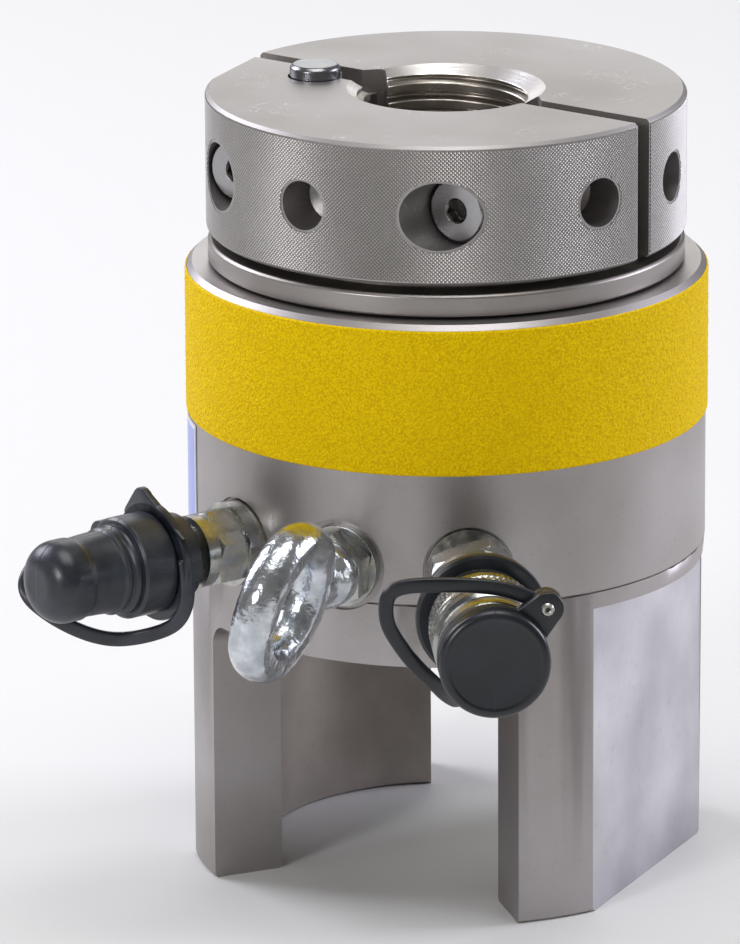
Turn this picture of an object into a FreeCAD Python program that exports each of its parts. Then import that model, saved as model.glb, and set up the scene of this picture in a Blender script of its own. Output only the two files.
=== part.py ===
# Hydraulic bolt tensioner: a hinged split nut on a ring piston, in a cylinder that stands on an open bridge.
# Millimetres. The bolt axis is Z, the base is at Z 0, and the front window faces -Y.
import FreeCAD, Part
import math
import os

V = FreeCAD.Vector
O = V(0, 0, 0)
X = V(1, 0, 0)
Y = V(0, 1, 0)
Z = V(0, 0, 1)

# Clearances
fit = 0.05                  # radial gap of shafts, threads and seals in their holes
face_gap = 0.05             # gap under the turning nut
glue_gap = 0.05             # adhesive under the band and the label
slot_gap = 0.3              # gap above and below each hinge lug
pocket_gap = 0.6            # gap round the hinge pin's head and the lugs
screw_gap = 0.5             # gap round the screw heads in their pockets

# Stud that the tool pulls, M52 x 5. Its thread's root sets the bores.
thread_root = 26.0
mouth_chamfer = 2.5
thread_mouth = thread_root + mouth_chamfer
stud_gap = 1.0
bolt_clearance = thread_root + stud_gap

# Cylinder, measured outward from the stud and up from the bridge's top
tube_wall = 6.0
tube_outer = bolt_clearance + tube_wall
spring_room = 13.0
spring_bay = tube_outer + spring_room
piston_wall = 14.0
cylinder_bore = spring_bay + piston_wall
body_wall = 14.8
body_outer = cylinder_bore + body_wall
bridge_top = 95.8
body_height = 82.4
body_top = bridge_top + body_height
body_chamfer = 1.5
edge = 0.8                  # small chamfer on turned edges
floor_thick = 25.2
chamber_floor = bridge_top + floor_thick
port_rise = 10.7
port_height = bridge_top + port_rise
port_angle = 28.65          # ports lie left and right of the front by this angle
port_thread = 6.6
port_thread_length = 15.4
oil_way = 2.5
oil_circle = (tube_outer + cylinder_bore) / 2
spot_depth = 1.4
spot_floor = body_outer - spot_depth    # distance from the axis to the spotface floors
port_depth = spot_floor - port_thread_length
spot_radius = 12.9
eye_spot_radius = 13.3
wiper_height = 4.0
wiper_cover = 4.2
wiper_high = body_top - wiper_cover
wiper_low = wiper_high - wiper_height
wiper_depth = 4.0

# Bridge: the open foot that stands over the nut being tightened
bridge_step = 0.5           # its radius is this much less than the cylinder's
bridge_outer = body_outer - bridge_step
bridge_wall = 21.15
bridge_inner = bridge_outer - bridge_wall
bridge_turn = -0.8          # degrees the bridge sits round from the ports, where its thread stopped
spigot_lip = 6.85
spigot_outer = bridge_inner + spigot_lip    # thread that holds the bridge
spigot_wall = 14.0
spigot_inner = spigot_outer - spigot_wall
spigot_length = 12.0
spigot_low = bridge_top - spigot_length
window_cover = 18.0
window_top = bridge_top - window_cover
window_corner = 7.0
front_window = 40.5         # half angles of the two windows
rear_window = 30.2
flat_cut = 10.8
flat_distance = bridge_outer - flat_cut     # wrench flats on the left and right
flat_cover = 4.6
flat_top = bridge_top - flat_cover
grub_radius = 3.0
grub_sunk = 1.0
grub_socket = 3.0
grub_angles = (140, 220)

# Piston and its seals
piston_rest = 2.5
piston_bottom = chamber_floor + piston_rest
piston_show = 0.5
piston_top = body_top + piston_show
piston_floor = 15.5
spring_seat = piston_bottom + piston_floor
seal_rise = 3.5
seal_low = piston_bottom + seal_rise
seal_height = 6.0
seal_high = seal_low + seal_height
seal_depth = 5.0
backup_height = 2.0

# Split nut, above the thrust ring
ring_height = 5.0
ring_top = piston_top + ring_height
seat_height = 4.25
seat_top = ring_top + seat_height
nut_bottom = seat_top + face_gap
nut_height = 40.3
nut_top = nut_bottom + nut_height
nut_radius = 68.8
nut_edge = 0.9
nut_turn = -12.0            # degrees of the front half's centre round from the front
split_gap = 5.6
split_half = split_gap / 2
split_edge = 2.5            # corners broken beside the bore
tommy_radius = 7.1
tommy_depth = 13.0
tommy_point = 3.5
tommy_floor = nut_radius - tommy_depth
tommy_spread = 75.0
rim_cut = 2.4
rim_flat = nut_radius - rim_cut         # flat milled on the front half's far rim
rim_slant = 12.0            # degrees that the flat leans
relief_radius = 6.5

# Hinge pin and its lugs
pin_wall = 12.7
pin_x = -thread_root - pin_wall
pin_y = -10.7
pin_radius = 5.0
pin_head = 7.3
pin_head_depth = 4.0
pin_proud = 3.7
pin_floor = 2.0
pin_spare = 0.5
lug_radius = 10.0
lug_height = 8.0
lug_side = 1.8              # room beside each lug for the swing
lower_lug_cover = 6.0
upper_lug_cover = 7.0
lug_low = nut_bottom + lower_lug_cover
lug_high = nut_top - upper_lug_cover - lug_height

# Screws of the split nut: the lock screw on the left and the clamp screw on the right
screw_x = -pin_x
screw_head = 9.25
screw_head_height = 6.5
screw_hole = screw_head + screw_gap
screw_sunk = 20.2
screw_face = nut_radius - screw_sunk    # distance of both head faces from the nut's split line
screw_shank = 6.0
screw_socket = 6.0
socket_depth = 3.5
socket_lead = 0.7
lock_shank = 4.0
lock_gap = 0.3
tip_gap = 1.3
clamp_tip = split_half + tip_gap        # the backed out clamp screw ends here
clamp_travel = 16.0
clamp_seat = screw_face - screw_head_height
spring_solid = 6.1
clamp_floor = clamp_seat - clamp_travel - spring_solid
hole_spare = 10.0
clamp_hole_depth = clamp_travel + hole_spare
clamp_coil = 7.7
clamp_wire = 1.1

# Thrust ring on top of the piston
ring_step = 0.2
ring_outer = nut_radius - ring_step
seat_step = 8.6
seat_outer = ring_outer - seat_step
seat_edge = 0.5
ring_bore = bolt_clearance + 1
cap_screws = 6
cap_screw_wall = 6.0
cap_screw_circle = spring_bay + cap_screw_wall
cap_screw_head = 4.75
cap_screw_head_height = 5.0
cap_screw_sunk = 1.0
cap_screw_shank = 3.0
cap_screw_socket = 5.0
cap_screw_length = 13.0
cap_screw_seat = seat_top - cap_screw_sunk - cap_screw_head_height

# Return spring and its retainer
retainer_cover = 0.7
retainer_top = body_top - retainer_cover
retainer_wall = 3.0
retainer_outer = tube_outer + retainer_wall
retainer_length = 17.5
retainer_low = retainer_top - retainer_length
retainer_gap = 1.5
retainer_flange = spring_bay - retainer_gap
retainer_thick = 4.5
retainer_step = retainer_top - retainer_thick
spring_wire = 4.2
spring_gap = 1.2
spring_radius = retainer_outer + spring_gap + spring_wire / 2
spring_turns = 3.5
coil_steps = 18             # straight pieces in each turn of a spring

# Grip band and label round the cylinder
band_thick = 0.4
band_outer = body_outer + band_thick
band_height = 42.3
band_high = body_top - body_chamfer
band_low = band_high - band_height
label_gap = 0.8
label_height = 32.6
label_high = band_low - label_gap
label_low = label_high - label_height
label_start = -105.0
label_end = -50.0
label_thick = 0.2

# Left fitting: a male quick nipple. Each length follows the last, outward along the port.
seal_thick = 2.0
seal_radius = 12.2
seal_face = spot_floor + seal_thick
left_hex_flats = 20.6
left_hex_gap = 4.1
left_hex_length = 8.9
left_hex_start = seal_face + left_hex_gap
left_hex_end = left_hex_start + left_hex_length
left_collar = 10.5
left_collar_length = 3.8
left_collar_end = left_hex_end + left_collar_length
left_ring_gap = 3.8
left_ring_length = 8.0
left_ring_outer = 12.4
left_ring_start = left_collar_end + left_ring_gap
left_ring_end = left_ring_start + left_ring_length
nipple_radius = 8.9
nipple_neck = 7.4
nipple_length = 42.0
nipple_end = left_ring_start + nipple_length
nipple_bore = 5.0
nipple_way = 2.0
lock_groove = 5.0           # groove for the coupler's balls, back from the nipple's end
lock_groove_length = 7.0
poppet_back = 0.8
poppet_coil = 4.1
poppet_wire = 0.9

# Left dust cap and the strap's pull plate
left_plate = 17.2
left_plate_thick = 2.4
left_skirt_gap = 2.0
left_skirt_length = 11.0
left_skirt = 14.6
left_skirt_start = left_ring_end + left_skirt_gap
left_skirt_end = left_skirt_start + left_skirt_length
left_barrel = 11.9
cap_end_wall = 6.6
left_tip = nipple_end + cap_end_wall
dome = 7.5
ear_radius = 4.6
ear_thick = 3.0
strap_thick = 3.2
left_ear_gap = 3.0
left_ear_start = left_skirt_start + left_ear_gap
left_ear_x = -15.9          # the left cap's strap ends on this ear, on its far side
left_ear_y = 4.6

# Right fitting: an adapter, and the female quick coupler on it
adapter_radius = 10.4
right_hex_flats = 19.0
right_hex_length = 9.1
right_hex_end = seal_face + right_hex_length
adapter_neck = 9.5
coupler_hex_flats = 28.5
coupler_hex_start = right_hex_end + adapter_neck
coupler_hex_length = 10.0
coupler_hex_end = coupler_hex_start + coupler_hex_length
adapter_thread_length = 15.0
adapter_end = coupler_hex_start + adapter_thread_length
coupler_barrel = 15.3
coupler_radius = 14.5
coupler_core = 12.4
coupler_bore = 8.0
right_ring_gap = 12.0
right_ring_length = 3.4
right_ring_outer = 17.9
right_ring_start = coupler_hex_end + right_ring_gap
right_ring_end = right_ring_start + right_ring_length
core_length = 32.6
coupler_end = right_ring_end + core_length
ball_radius = 2.0
ball_count = 6
ball_back = 7.0
valve_lift = 4.0
valve_length = 19.0
valve_coil = 5.2
valve_wire = 1.1

# Sleeve of the coupler. It slides back toward the cylinder by its travel.
sleeve_radius = 15.6
sleeve_travel = 4.0
sleeve_gap = 1.6
sleeve_start = right_ring_end + sleeve_gap + sleeve_travel
sleeve_over = 1.0
sleeve_end = coupler_end + sleeve_over
sleeve_step = 15.0          # length of the close fitting front part
sleeve_seat = sleeve_end - sleeve_step
sleeve_room = 1.9           # width of the spring's space inside the sleeve
sleeve_wire = 1.0
rib_pitch = 3.2
rib_depth = 0.7

# Right dust cap and its rivet
right_cap_gap = 0.4
right_cap_length = 8.2
right_cap_radius = 16.1
right_cap_start = sleeve_end + right_cap_gap
right_cap_end = right_cap_start + right_cap_length
plug_radius = 7.7
plug_length = 12.4
right_ear_x = 14.6
right_ear_y = 14.2
right_ear_start = right_cap_start + 0.4
ear_gap = 0.1
strap_low = right_ear_start - strap_thick - ear_gap
rivet_hole = 1.4
rivet_bore = 0.5
rivet_head = 2.3

# Eye bolt
washer_thick = 2.6
washer_radius = 11.8
eye_hex_flats = 19.4
eye_hex_length = 7.0
eye_hex_start = spot_floor + washer_thick
eye_hex_end = eye_hex_start + eye_hex_length
eye_collar = 9.5
eye_collar_length = 4.6
eye_neck = 2.4
eye_rise = 30.0
eye_centre = eye_hex_end + eye_rise
eye_mean = 18.2
eye_radial = 5.5
eye_side = 6.5
eye_tilt = 15.0
eye_thread = 6.0
eye_thread_length = 19.4
hole_end = 2.0              # tapped past the stud's end
eye_depth = spot_floor - eye_thread_length - hole_end


def save(name, shape):
    shape.exportStep("parts/" + name + ".step")


def turned(points):
    """Solid of revolution about Z from (radius, height) points."""
    wire = Part.makePolygon([V(r, 0, z) for r, z in points + points[:1]])
    return Part.Face(wire).revolve(O, Z, 360)


def rod(radius, low, high):
    return Part.makeCylinder(radius, high - low, V(0, 0, low))


def tube(outer, inner, low, high):
    return rod(outer, low, high).cut(rod(inner, low - 1, high + 1))


def box(x1, x2, y1, y2, z1, z2):
    return Part.makeBox(x2 - x1, y2 - y1, z2 - z1, V(x1, y1, z1))


def hexagon(flats, low, high, turn=0.0, socket=False):
    """Hexagonal prism along Z. The corners of an outer hexagon are turned off at both ends."""
    corner = flats / math.sqrt(3)
    points = []
    for k in range(7):
        a = math.radians(60 * k + turn)
        points.append(V(corner * math.cos(a), corner * math.sin(a), low))
    prism = Part.Face(Part.makePolygon(points)).extrude(V(0, 0, high - low))
    if socket:
        return prism
    drop = (corner - flats / 2) * 0.6
    trim = turned([(0, low), (flats / 2, low), (corner, low + drop),
                   (corner, high - drop), (flats / 2, high), (0, high)])
    return prism.common(trim)


def rounded(shape, radius, heights):
    """Fillet the round edges that lie at the given heights."""
    edges = []
    for e in shape.Edges:
        flat = e.BoundBox.ZLength < 0.001 and isinstance(e.Curve, Part.Circle)
        if flat and min(abs(e.BoundBox.ZMin - h) for h in heights) < 0.01:
            edges.append(e)
    return shape.makeFillet(radius, edges)


def at_port(shape, angle):
    """Move a piece built along Z so that it points out of the cylinder at this angle from the front."""
    placed = shape.copy()
    placed.rotate(O, X, 90)
    placed.rotate(O, Z, angle)
    placed.translate(V(0, 0, port_height))
    return placed


def with_nut(shape):
    """Turn a piece of the split nut to the nut's position."""
    placed = shape.copy()
    placed.rotate(O, Z, nut_turn)
    return placed


def along_screw(shape, x):
    """Lay a piece built along Z into the nut. Its height becomes the distance in front of the split line."""
    placed = shape.copy()
    placed.rotate(O, X, 90)
    placed.translate(V(x, 0, hole_height()))
    return placed


def hole_height():
    return (nut_bottom + nut_top) / 2


def window(half, middle):
    """Wedge with two rounded upper corners that cuts one window of the bridge."""
    near = bridge_inner / 2
    far = bridge_outer * 1.5
    points = []
    for r, s in ((near, -1), (far, -1), (far, 1), (near, 1), (near, -1)):
        a = math.radians(s * half)
        points.append(V(r * math.sin(a), -r * math.cos(a), -1))
    wedge = Part.Face(Part.makePolygon(points)).extrude(V(0, 0, window_top + 1))
    upper = []
    for e in wedge.Edges:
        level = abs(e.BoundBox.ZMin - window_top) < 0.001 and e.BoundBox.ZLength < 0.001
        if level and abs(e.Length - (far - near)) < 0.01:
            upper.append(e)
    wedge = wedge.makeFillet(window_corner, upper)
    wedge.rotate(O, Z, middle)
    return wedge


def bridge():
    socket = spigot_outer
    shape = turned([(bridge_inner + edge, 0), (bridge_outer - edge, 0), (bridge_outer, edge),
                    (bridge_outer, bridge_top), (socket, bridge_top), (socket, spigot_low),
                    (bridge_inner, spigot_low), (bridge_inner, edge)])
    shape = shape.cut(window(front_window, 0)).cut(window(rear_window, 180))
    for side in (1, -1):
        cut = box(flat_distance, 2 * bridge_outer, -bridge_outer, bridge_outer, -1, flat_top)
        if side < 0:
            cut.rotate(O, Z, 180)
        shape = shape.cut(cut)
    for angle in grub_angles:
        hole = rod(grub_radius + fit, bridge_inner, 2 * bridge_outer)
        shape = shape.cut(grub_place(hole, angle))
    shape.rotate(O, Z, bridge_turn)
    for tool in spotface_tools():
        shape = shape.cut(tool)
    return shape


def grub_place(shape, angle):
    """Lay a piece built along Z into the bridge's thread at this angle from the front."""
    placed = shape.copy()
    placed.rotate(O, X, 90)
    placed.rotate(O, Z, angle)
    placed.translate(V(0, 0, (spigot_low + bridge_top) / 2))
    return placed


def spotface_tools():
    """Round cutters of the three spotfaces. Their lower rims reach just into the bridge."""
    far = body_outer + spot_radius
    tools = [at_port(rod(eye_spot_radius, spot_floor, far), 0)]
    for angle in (-port_angle, port_angle):
        tools.append(at_port(rod(spot_radius, spot_floor, far), angle))
    return tools


def bridge_screws():
    """Two grub screws at the back that lock the bridge on its thread."""
    face = bridge_outer - grub_sunk
    pieces = []
    for angle in grub_angles:
        screw = rod(grub_radius, spigot_outer + fit, face)
        screw = screw.cut(hexagon(grub_socket, face - grub_radius, face + 1, 0, True))
        pieces.append(grub_place(screw, angle + bridge_turn))
    return Part.makeCompound(pieces)


def cylinder():
    spigot = spigot_outer - fit
    bore_edge = body_chamfer
    shape = turned([(bolt_clearance, bridge_top), (spigot_inner, bridge_top), (spigot_inner, spigot_low),
                    (spigot - edge, spigot_low), (spigot, spigot_low + edge), (spigot, bridge_top),
                    (body_outer - edge, bridge_top), (body_outer, bridge_top + edge),
                    (body_outer, band_high), (body_outer - body_chamfer, body_top),
                    (cylinder_bore + bore_edge, body_top), (cylinder_bore, body_top - bore_edge),
                    (cylinder_bore, wiper_high), (cylinder_bore + wiper_depth, wiper_high),
                    (cylinder_bore + wiper_depth, wiper_low), (cylinder_bore, wiper_low),
                    (cylinder_bore, chamber_floor), (tube_outer, chamber_floor),
                    (tube_outer, retainer_top), (bolt_clearance, retainer_top)])
    for tool in spotface_tools():
        shape = shape.cut(tool)
    for angle in (-port_angle, port_angle):
        tool = rod(port_thread, port_depth, body_outer).fuse(rod(oil_way, oil_circle - 1, body_outer))
        shape = shape.cut(at_port(tool, angle))
        rise = Part.makeCylinder(oil_way, chamber_floor + 1 - port_height, V(0, -oil_circle, port_height))
        rise.rotate(O, Z, angle)
        shape = shape.cut(rise)
    return shape.cut(at_port(rod(eye_thread + fit, eye_depth, body_outer), 0))


def piston():
    outer = cylinder_bore - fit
    inner = tube_outer + fit
    shape = turned([(inner, piston_bottom), (outer - edge, piston_bottom), (outer, piston_bottom + edge),
                    (outer, seal_low), (outer - seal_depth, seal_low), (outer - seal_depth, seal_high),
                    (outer, seal_high), (outer, piston_top), (spring_bay, piston_top),
                    (spring_bay, spring_seat), (inner, spring_seat), (inner, seal_high),
                    (inner + seal_depth, seal_high), (inner + seal_depth, seal_low), (inner, seal_low)])
    hole = rod(cap_screw_shank + fit, piston_top - cap_screw_length - hole_end, piston_top + 1)
    for place in cap_screw_places():
        shape = shape.cut(moved(hole, place))
    return shape


def moved(shape, place):
    placed = shape.copy()
    placed.translate(place)
    return placed


def cap_screw_places():
    places = []
    for k in range(cap_screws):
        a = math.radians(360 / cap_screws * k + 30)
        places.append(V(cap_screw_circle * math.cos(a), cap_screw_circle * math.sin(a), 0))
    return places


def thrust_ring():
    """Wide ring on top of the piston. The nut turns on its raised seat."""
    shape = turned([(ring_bore, piston_top), (ring_outer - edge, piston_top),
                    (ring_outer, piston_top + edge), (ring_outer, ring_top - edge),
                    (ring_outer - edge, ring_top), (seat_outer, ring_top), (seat_outer, seat_top - seat_edge),
                    (seat_outer - seat_edge, seat_top), (ring_bore + 1, seat_top), (ring_bore, seat_top - 1)])
    hole = rod(cap_screw_shank + fit, piston_top - 1, seat_top + 1)
    hole = hole.fuse(rod(cap_screw_head + fit, cap_screw_seat, seat_top + 1))
    for place in cap_screw_places():
        shape = shape.cut(moved(hole, place))
    return shape


def thrust_ring_screws():
    top = cap_screw_seat + cap_screw_head_height
    screw = rod(cap_screw_head, cap_screw_seat, top).fuse(
        rod(cap_screw_shank, piston_top - cap_screw_length, cap_screw_seat))
    screw = screw.cut(hexagon(cap_screw_socket, top - cap_screw_shank, top + 1, 0, True))
    return Part.makeCompound([moved(screw, place) for place in cap_screw_places()])


def outer_seal():
    outer = cylinder_bore - fit
    return tube(outer, outer - seal_depth, seal_low, seal_high - backup_height)


def outer_backup():
    outer = cylinder_bore - fit
    return tube(outer, outer - seal_depth, seal_high - backup_height, seal_high)


def inner_seal():
    inner = tube_outer + fit
    return tube(inner + seal_depth, inner, seal_low, seal_high - backup_height)


def inner_backup():
    inner = tube_outer + fit
    return tube(inner + seal_depth, inner, seal_high - backup_height, seal_high)


def wiper():
    return tube(cylinder_bore + wiper_depth, cylinder_bore, wiper_low, wiper_high)


def spring_retainer():
    """Flanged collar screwed on the inner tube. The return spring pushes up against it."""
    inner = tube_outer + fit
    return turned([(inner, retainer_low), (retainer_outer, retainer_low), (retainer_outer, retainer_step),
                   (retainer_flange, retainer_step), (retainer_flange, retainer_top - 1),
                   (retainer_flange - 1, retainer_top), (inner, retainer_top)])


def coil(radius, wire, low, high, turns):
    """Coil spring along Z of square wire, drawn as short straight pieces."""
    steps = round(turns * coil_steps)
    rise = (high - low - wire) / steps
    rings = []
    for k in range(steps + 1):
        a = math.radians(360 / coil_steps * k)
        across = V(math.cos(a), math.sin(a), 0)
        inner = across * (radius - wire / 2) + V(0, 0, low + rise * k)
        outer = across * (radius + wire / 2) + V(0, 0, low + rise * k)
        up = V(0, 0, wire)
        rings.append((inner, outer, outer + up, inner + up))
    outlines = [rings[0], rings[-1]]
    for first, second in zip(rings, rings[1:]):
        for k in (1, 3):
            outlines.append((first[k], second[k], second[(k + 1) % 4], first[(k + 1) % 4]))
        for k in (0, 2):
            outlines.append((first[k], second[k], first[k + 1]))
            outlines.append((second[k], second[k + 1], first[k + 1]))
    faces = [Part.Face(Part.makePolygon(list(points) + [points[0]])) for points in outlines]
    shell = Part.makeShell(faces)
    shell.sewShape()
    solid = Part.makeSolid(shell)
    if solid.Volume < 0:
        solid.reverse()
    return solid


def return_spring():
    return coil(spring_radius, spring_wire, spring_seat, retainer_step, spring_turns)


def nut_blank():
    """Whole nut before it is split."""
    e = nut_edge
    return turned([(thread_mouth, nut_bottom), (nut_radius - e, nut_bottom), (nut_radius, nut_bottom + e),
                   (nut_radius, nut_top - e), (nut_radius - e, nut_top), (thread_mouth, nut_top),
                   (thread_root, nut_top - mouth_chamfer), (thread_root, nut_bottom + mouth_chamfer)])


def nut_side(y1, y2):
    """Block as tall as the nut between two distances from its split line."""
    far = nut_radius + 10
    return box(-far, far, y1, y2, nut_bottom - 1, nut_top + 1)


def tommy_holes(middle):
    """Three blind radial holes for a turning bar, in one half of the nut."""
    tool = rod(tommy_radius, tommy_floor, nut_radius + 5)
    tool = tool.fuse(turned([(0, tommy_floor - tommy_point), (tommy_radius, tommy_floor), (0, tommy_floor)]))
    holes = []
    for angle in (middle - tommy_spread, middle, middle + tommy_spread):
        hole = tool.copy()
        hole.rotate(O, X, 90)
        hole.rotate(O, Z, angle)
        hole.translate(V(0, 0, hole_height()))
        holes.append(hole)
    return holes


def lug_slot(low):
    """Space in the front half for one hinge lug, wide enough for the swing."""
    low = low - slot_gap
    high = low + lug_height + 2 * slot_gap
    round_end = lug_radius + pocket_gap
    wide = round_end + lug_side
    slot = Part.makeCylinder(round_end, high - low, V(pin_x, pin_y, low))
    return slot.fuse(box(pin_x - wide, pin_x + wide, pin_y, 0, low, high))


def pin_hole():
    """Hole for the hinge pin, with its floor just above the nut's bottom."""
    low = nut_bottom + pin_floor
    return Part.makeCylinder(pin_radius + fit, nut_height, V(pin_x, pin_y, low))


def front_nut_half():
    far = nut_radius + 10
    shape = nut_blank().common(nut_side(-far, -split_half))
    relief = Part.makeCylinder(relief_radius, nut_height + 2, V(-thread_mouth, -split_half, nut_bottom - 1))
    rim = nut_side(0, nut_radius / 2)
    rim.rotate(O, Z, 90 + rim_slant)
    rim.translate(V(-rim_flat, -split_half, 0))
    shape = shape.cut(relief).cut(rim)
    for low in (lug_low, lug_high):
        shape = shape.cut(lug_slot(low))
    shape = shape.cut(pin_hole())
    head_floor = nut_top - pin_head_depth
    shape = shape.cut(Part.makeCylinder(pin_head + pocket_gap, nut_height, V(pin_x, pin_y, head_floor)))
    lock = rod(screw_hole, clamp_seat, far).fuse(rod(lock_shank + fit, -pin_y, far))
    clamp = rod(screw_hole, clamp_floor, far).fuse(rod(screw_shank + screw_gap, 0, far))
    shape = shape.cut(along_screw(lock, -screw_x)).cut(along_screw(clamp, screw_x))
    for hole in tommy_holes(0):
        shape = shape.cut(hole)
    return with_nut(shape)


def rear_nut_half():
    far = nut_radius + 10
    shape = nut_blank().common(nut_side(split_half, far))
    corner = box(-5, 5, -5, 5, nut_bottom - 1, nut_top + 1)
    corner.rotate(O, Z, 45)
    for side in (-1, 1):
        shape = shape.cut(moved(corner, V(side * (thread_root + 1), split_half - split_edge, 0)))
    for low in (lug_low, lug_high):
        arm = box(pin_x - lug_radius, pin_x + lug_radius, pin_y, 2 * split_gap, low, low + lug_height)
        lug = arm.fuse(Part.makeCylinder(lug_radius, lug_height, V(pin_x, pin_y, low)))
        shape = shape.fuse(lug)
    shape = shape.cut(pin_hole())
    hole = rod(screw_shank + 2 * fit, -clamp_hole_depth, split_gap)
    shape = shape.cut(along_screw(hole, screw_x))
    for hole in tommy_holes(180):
        shape = shape.cut(hole)
    return with_nut(shape.removeSplitter())


def hinge_pin():
    low = nut_bottom + pin_floor + pin_spare
    top = nut_top + pin_proud
    seat = nut_top - pin_head_depth
    shape = turned([(0, low), (pin_radius - 0.6, low), (pin_radius, low + 0.6), (pin_radius, seat),
                    (pin_head, seat), (pin_head, top - 1), (pin_head - 1, top), (0, top)])
    return with_nut(moved(shape, V(pin_x, pin_y, 0)))


def cap_screw(shank, tip):
    """Low socket head screw along Z, with its head face at the nut's screw face."""
    face = screw_face
    shape = turned([(0, tip), (shank - edge, tip), (shank, tip + edge), (shank, clamp_seat),
                    (screw_head, clamp_seat), (screw_head, face - edge), (screw_head - edge, face),
                    (0, face)])
    socket = hexagon(screw_socket, face - socket_depth, face + 1, 15, True)
    narrow = screw_socket / 2
    wide = narrow + socket_lead
    lead = turned([(0, face - socket_lead), (narrow, face - socket_lead), (wide, face), (wide, face + 1),
                   (0, face + 1)])
    return shape.cut(socket).cut(lead)


def pin_lock_screw():
    tip = -pin_y + pin_radius + lock_gap
    return with_nut(along_screw(cap_screw(lock_shank, tip), -screw_x))


def clamp_screw():
    return with_nut(along_screw(cap_screw(screw_shank, clamp_tip), screw_x))


def clamp_spring():
    """Light spring that keeps the loose clamp screw backed out."""
    spring = coil(clamp_coil, clamp_wire, clamp_floor, clamp_seat, 4)
    return with_nut(along_screw(spring, screw_x))


def grip_band():
    return tube(band_outer, body_outer + glue_gap, band_low, band_high)


def label_plate():
    """Plain blue label, bent round the lower body."""
    inner = body_outer + glue_gap
    shape = tube(inner + label_thick, inner, label_low, label_high)
    far = 2 * body_outer
    points = [O]
    for k in range(7):
        a = math.radians(label_start + (label_end - label_start) * k / 6)
        points.append(V(far * math.sin(a), -far * math.cos(a), 0))
    sector = Part.Face(Part.makePolygon(points + [O])).extrude(V(0, 0, body_top))
    return shape.common(sector)


def port_seal(angle):
    """Bonded seal under a fitting, resting on the spotface."""
    return at_port(tube(seal_radius, port_thread + fit, spot_floor, seal_face), angle)


def left_nipple():
    bore = nipple_bore
    way = nipple_way
    neck = nipple_neck
    thread = port_thread - fit
    low = port_depth + hole_end
    groove = nipple_end - lock_groove
    shape = turned([(way, low), (thread - 1, low), (thread, low + 1), (thread, seal_face),
                    (seal_radius, seal_face), (seal_radius, left_hex_start - 0.3),
                    (left_collar, left_hex_start - 0.3), (left_collar, left_collar_end),
                    (neck, left_collar_end + 1), (neck, left_ring_start - 0.6),
                    (nipple_radius, left_ring_start - 0.6), (nipple_radius, groove - lock_groove_length),
                    (neck, groove - lock_groove_length + 2), (neck, groove - 2),
                    (nipple_radius, groove), (nipple_radius, nipple_end - 1), (nipple_radius - 1, nipple_end),
                    (bore, nipple_end), (bore - 2, nipple_end - 2), (bore - 2, nipple_end - 6),
                    (bore, nipple_end - 8), (bore, left_collar_end), (way, left_collar_end - 2)])
    return at_port(shape.fuse(left_hex()), -port_angle)


def left_hex():
    hex_ring = hexagon(left_hex_flats, left_hex_start, left_hex_end, 18.7)
    return hex_ring.cut(rod(left_collar - 0.5, left_hex_start - 1, left_hex_end + 1))


def left_poppet():
    """Valve that the mating half pushes in."""
    end = nipple_end - poppet_back
    stem = nipple_bore - 2.25
    disc = nipple_bore - 2 * fit
    shape = turned([(0, end - 22), (3.2, end - 22), (3.2, end - 12), (disc, end - 12), (disc, end - 8.6),
                    (stem, end - 5.6), (stem, end - 0.8), (stem - 0.75, end), (0, end)])
    return at_port(shape, -port_angle)


def left_poppet_spring():
    low = left_collar_end + 2.8
    high = nipple_end - poppet_back - 12
    return at_port(coil(poppet_coil, poppet_wire, low, high, 5), -port_angle)


def left_dust_cap():
    """Long closed rubber cap with a skirt, two beads, a domed end and an ear for its strap."""
    hollow = nipple_radius + fit
    low = left_skirt_start
    high = left_skirt_end
    barrel = left_barrel
    inner_end = nipple_end + 0.6
    shape = turned([(hollow, low), (left_skirt - 0.6, low), (left_skirt, low + 0.6), (left_skirt, high - 0.8),
                    (left_skirt - 0.8, high), (barrel + 0.8, high), (barrel + 1.1, high + 1),
                    (barrel + 0.8, high + 1.8), (barrel, high + 2.3), (barrel, high + 3.1),
                    (barrel + 0.6, high + 3.8), (barrel + 0.6, high + 4.8), (barrel - 0.1, high + 5.6),
                    (barrel - 0.4, high + 10), (barrel - 0.6, high + 14.6), (barrel, high + 16.4),
                    (barrel, left_tip), (0, left_tip), (0, inner_end + 1.9), (3, inner_end + 1.9),
                    (hollow, inner_end)])
    shape = rounded(shape, dome, [left_tip])
    shape = shape.fuse(ear(left_ear_start, left_ear_x, left_ear_y, hollow + 2))
    return at_port(shape, -port_angle)


def ear(low, x, y, inner):
    """Round lug beside a cap, joined to it by a web that reaches in to the given radius."""
    disc = Part.makeCylinder(ear_radius, ear_thick, V(x, y, low))
    reach = math.hypot(x, y)
    web = box(-ear_radius, ear_radius, inner, reach, low, low + ear_thick)
    web.rotate(O, Z, math.degrees(math.atan2(y, x)) - 90)
    return disc.fuse(web)


def strap_tube(places):
    """Round strap along straight runs that are joined by tangent arcs."""
    points = [V(*place) for place in places]
    edges = []
    here = points[0]
    for before, corner, after in zip(points, points[1:], points[2:]):
        back = before - corner
        on = after - corner
        half = back.getAngle(on) / 2
        reach = 0.45 * min(back.Length, on.Length)
        back.normalize()
        on.normalize()
        inward = back + on
        inward.normalize()
        middle = corner + inward * (reach / math.cos(half) - reach * math.tan(half))
        edges.append(Part.LineSegment(here, corner + back * reach).toShape())
        here = corner + on * reach
        edges.append(Part.Arc(corner + back * reach, middle, here).toShape())
    edges.append(Part.LineSegment(here, points[-1]).toShape())
    section = Part.Wire(Part.makeCircle(strap_thick / 2, points[0], points[1] - points[0]))
    return Part.Wire(edges).makePipeShell([section], True, False)


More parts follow.
